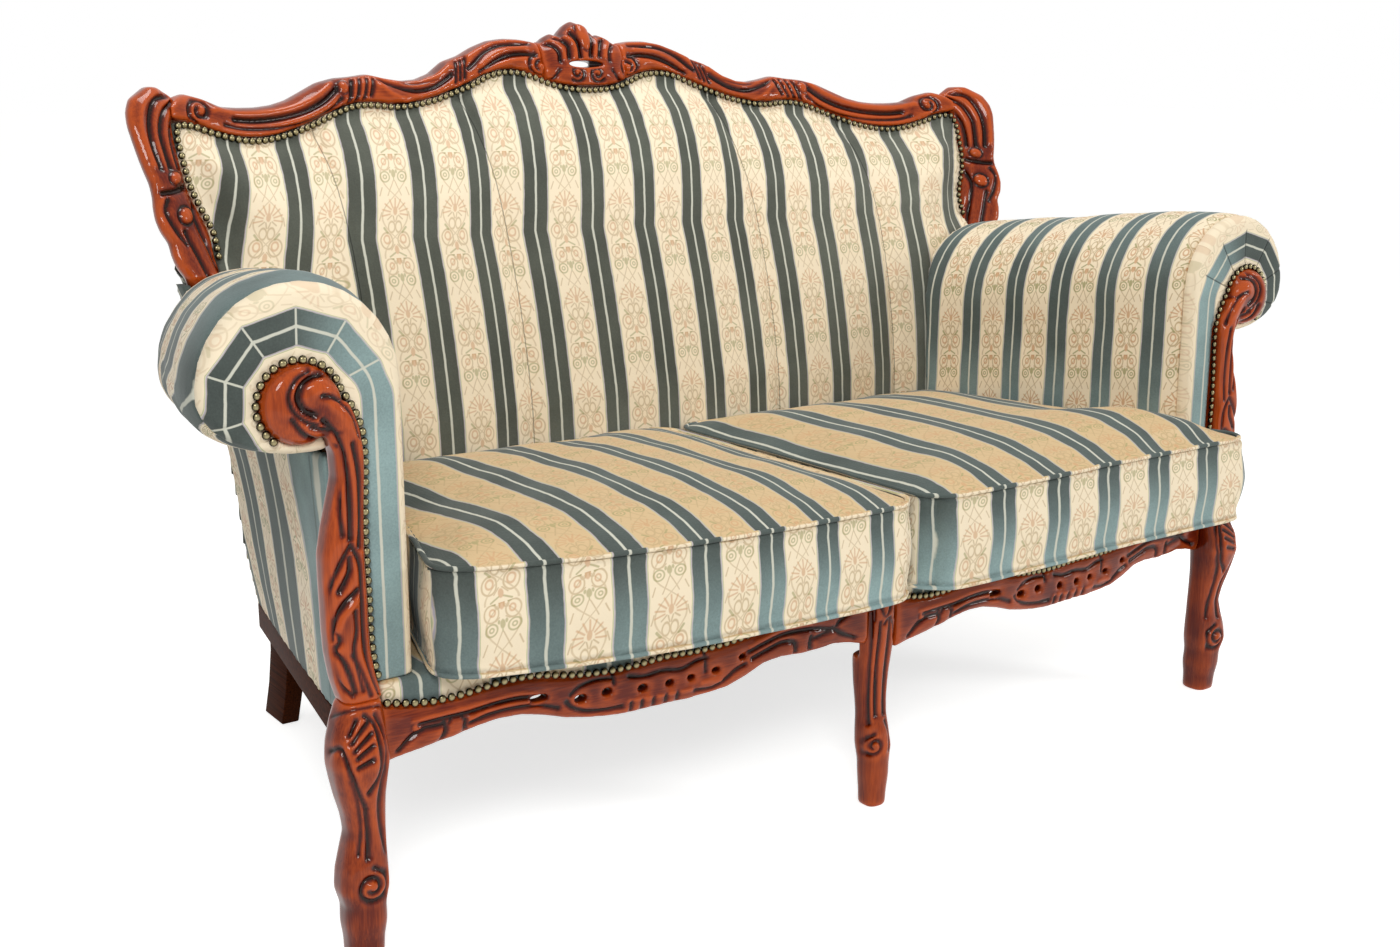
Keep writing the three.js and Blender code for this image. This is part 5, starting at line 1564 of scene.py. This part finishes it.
@dataclass(frozen=True)
class Seat:
    """The webbed deck's cover and the two loose boxed cushions that lift off it."""

    voxel: float = 4.5
    deck_voxel: float = 5.0
    deck_stripes: tuple[float, ...] = (-695, -592, -488, -337, -238, -151, -68, 25, 118, 211, 304, 397, 490,
                                       583, 676)
    left_stripes: tuple[float, ...] = (-661, -575, -480, -382, -290, -205, -126, -36, 54)
    right_stripes: tuple[float, ...] = (-30, 75, 180, 286, 392, 497, 602, 707)
    welts: tuple[float, float] = (437.0, 317.0)
    welt_radius: float = 3.2
    push_places: tuple[float, ...] = (330, 408, 462, 506, 555, 597, 618, 636)
    push_lengths: tuple[float, ...] = (0, 9, 18, 27, 40, 54, 62, 68)
    push_width: float = 22.0
    inner_radius: float = 42.0
    left_outer_radius: float = 1.0
    right_outer_radius: float = 24.0
    outer_setback: float = 85.0
    crown_level: float = 441.0
    crown_share: float = 0.95
    belly_level: float = 376.0
    belly_half: float = 56.0
    belly_rise: float = 3.5
    stripe_limit: float = 640.0
    inner_turn: float = -105.0
    left_outer_turn: float = -28.0
    right_outer_turn: float = -80.0

    def build(self, finishes: Finishes) -> None:
        """Makes the deck cover and both cushions.

        Args:
            finishes: the finishes.
        """
        deck = solid_copy(["seat_deck"], self.deck_voxel, 4, "deck_cover")
        points = places(deck.data)
        u = striped(points[:, 0], self.deck_stripes)
        set_weave(deck.data, u, (points[:, 1] + points[:, 2]) / REPEAT + 0.15)
        # Painted light: the deck's pile gets one middling light level
        set_attribute(deck.data, "nap", np.full(len(points), 0.35))
        finish_piece(deck, finishes.seat_cloth, "frame", "seat_deck")
        self.cushion(Side.LEFT, self.left_stripes, finishes)
        self.cushion(Side.RIGHT, self.right_stripes, finishes)

    def rounded(self, points: Points, side: Side) -> Points:
        """Turns a cushion's two front corners to a wider radius.

        Args:
            points: the cushion's places in mm.
            side: left or right.

        Returns:
            The moved places.
        """
        x, y = np.abs(points[:, 0]), points[:, 1]
        front = y.min()
        outer = self.left_outer_radius if side is Side.LEFT else self.right_outer_radius
        corners = ((x.min(), -1, self.inner_radius, 0), (x.max(), 1, outer, self.outer_setback))
        for edge, way, radius, setback in corners:
            cx, cy = edge - way * radius, front + radius + setback
            dx, dy = (x - cx) * way, cy - y
            far = np.hypot(dx, dy)
            share = np.where((dx > 0) & (dy > 0), np.maximum(dx, dy) / np.maximum(far, 1e-6), 1.0)
            x, y = cx + way * dx * share, cy - dy * share
        return np.column_stack([x * side.value, y, points[:, 2]])

    def pushed(self, points: Points) -> Points:
        """Puffs the right cushion's outer front corner forward and round the arm's front, where it is loose.

        Args:
            points: the cushion's places in mm.

        Returns:
            The moved places.
        """
        x, y, z = points.T
        moved = y - np.interp(x, self.push_places, self.push_lengths) * blend(70, -50, y)
        over = np.clip(z - self.crown_level, 0, 20)
        crown = self.crown_share * over * blend(240, 560, x) * blend(120, 0, y)
        waist = 1 - 0.35 * np.clip(np.abs(z - 385) / 60, 0, 1) ** 2
        wide = self.push_width * blend(560, 640, x) * blend(-40, -75, moved) * waist
        return np.column_stack([x + wide, moved, z + crown])

    def cushion(self, side: Side, stripes: tuple[float, ...], finishes: Finishes) -> None:
        """Makes one cushion with welts along its edges, a drawn-in boxing and a soft crown.

        Args:
            side: left or right.
            stripes: where the cream bands' middles lie, in mm.
            finishes: the finishes.
        """
        node_name = f"seat_cushion_{side.label}"
        made = solid_copy([node_name], self.voxel, 6, f"boxed_cushion_{side.label}")
        points, out = self.rounded(places(made.data), side), normals(made.data)
        if side is Side.RIGHT:
            points = self.pushed(points)
        wall = 1 - blend(0.35, 0.85, np.abs(out[:, 2]))
        bowed = 1 - ((points[:, 2] - self.belly_level) / self.belly_half) ** 2
        belly = self.belly_rise * np.clip(bowed, 0, 1) * wall
        slack = 1.8 * rumple(points * (1, 1, 0.6), 110, 21 + side.value) * blend(0.5, 0.9, out[:, 2])
        fold = 1.2 * rumple(points * (1.4, 1.4, 0.35), 45, 31 + side.value) * wall
        set_places(made.data, points + out * (belly + slack + fold)[:, None])
        join(made, [cord_mesh(rim(places(made.data), level), self.welt_radius) for level in self.welts])
        self.weave(made.data, side, stripes)
        finish_piece(made, finishes.seat_cloth, node_name, node_name)

    def weave(self, mesh: bpy.types.Mesh, side: Side, stripes: tuple[float, ...]) -> None:
        """Lays the stripes over a cushion and round its corners, and paints shade along its creases and light
        and shade over its pile.

        Args:
            mesh: the cushion's mesh.
            side: left or right.
            stripes: where the cream bands' middles lie, in mm.
        """
        x, y, z = places(mesh).T
        top, bottom = self.welts
        # Painted shade: dark lines just inside the top and bottom welts
        set_attribute(mesh, "crease", 0.5 * (bell(z - top + 5.5, 2.0) + bell(z - bottom - 5.5, 2.0)))
        span = blend(-640, -60, x) if side is Side.LEFT else np.full(len(x), 0.9)
        # Painted light: the boxing is lighter towards its bottom, and the left cushion lighter towards the
        # sofa's middle
        brushed_pile_and_painted_light = np.where(z > top, 0, blend(430, 330, z) * (0.35 + 0.5 * span))
        set_attribute(mesh, "nap", 0.06 + brushed_pile_and_painted_light + 0.1 * span)
        away = np.sign(x - x.mean())
        outer_turn = self.left_outer_turn if side is Side.LEFT else self.right_outer_turn
        start = np.where(away == side.value, outer_turn, self.inner_turn)
        turned = blend(0.5, 0.9, np.abs(normals(mesh)[:, 0])) * (z < top)
        across = np.minimum(x, self.stripe_limit)
        u = striped(across + away * turned * np.maximum(y - start, 0), stripes)
        set_weave(mesh, u, (y + z) / REPEAT + 0.1)


@dataclass(frozen=True)
class NailRow:
    """One close row of domed nails, set along the middle of its solid."""

    node_name: str
    spacing: float = 10.4
    radius: float = 4.8
    flatness: float = 0.7
    ring_edge: float = 6.4

    def route(self) -> Points:
        """Finds the row's middle line, from the middles of the rings of corners that its solid is made of.

        Returns:
            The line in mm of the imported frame.
        """
        bm = bmesh.new()
        bm.from_mesh(NODES[self.node_name].data)
        bmesh.ops.remove_doubles(bm, verts=bm.verts, dist=0.1 * MM)
        bm.verts.ensure_lookup_table()
        group = list(range(len(bm.verts)))

        def root(i: int) -> int:
            """Returns the ring that a corner belongs to."""
            while group[i] != i:
                i = group[i]
            return i

        for edge in bm.edges:
            if edge.calc_length() < self.ring_edge * MM:
                group[root(edge.verts[0].index)] = root(edge.verts[1].index)
        rings: dict[int, list[Vector]] = {}
        for vert in bm.verts:
            rings.setdefault(root(vert.index), []).append(vert.co.copy())
        bm.free()
        left = [sum(ring, Vector()) / len(ring) for ring in rings.values()]
        nearest = min(left, key=lambda p: p.x if "apron" in self.node_name else p.z + 0.01 * p.x)
        path = []
        while left:
            path.append(nearest)
            left.remove(nearest)
            nearest = min(left, key=lambda p: (p - path[-1]).length, default=None)
        return np.array([list(p) for p in path]) / MM

    def build(self, finishes: Finishes) -> None:
        """Sets the nails.

        Args:
            finishes: the finishes.
        """
        line = self.route()
        steps = np.linalg.norm(np.diff(line, axis=0), axis=1)
        run = np.concatenate([[0], np.cumsum(steps)])
        count = max(int(run[-1] / self.spacing), 2)
        marks = np.linspace(0, run[-1], count)
        spots = np.stack([np.interp(marks, run, line[:, k]) for k in range(3)], axis=1)
        bm = bmesh.new()
        crown = bm.verts.layers.float.new("crown")
        tall = self.radius * self.flatness
        for spot in spots:
            seat = Matrix.Translation(Vector(spot * MM)) @ Matrix.Rotation(math.pi / 2, 4, "X")
            squat = Matrix.Diagonal((self.radius * MM, self.radius * MM, tall * MM, 1))
            made = bmesh.ops.create_uvsphere(bm, u_segments=10, v_segments=6, radius=1.0, matrix=seat @ squat)
            for vert in made["verts"]:
                vert[crown] = max((spot[1] - vert.co.y / MM) / tall, 0.0)
        row = linked(self.node_name.replace("nail_row", "domed_nails"), written(bm, "nails"))
        row.data.shade_smooth()
        finish_piece(row, finishes.brass, "frame", self.node_name)
        LOG.info("%s: %d nails over %.0f mm", row.name, count, run[-1])


def main() -> None:
    """Builds the sofa in order."""
    logging.basicConfig(level=logging.INFO, format="%(name)s %(message)s")
    finishes = Finishes()
    Studio().build(finishes)
    ShowFrame().build(finishes)
    PlainFrame().build(finishes)
    BackUpholstery().build(finishes)
    for side in Side:
        ArmUpholstery(side).build(finishes)
    Seat().build(finishes)
    for name in sorted(n for n in NODES if n.startswith("nail_row")):
        NailRow(name).build(finishes)


if __name__ == "__main__":
    main()
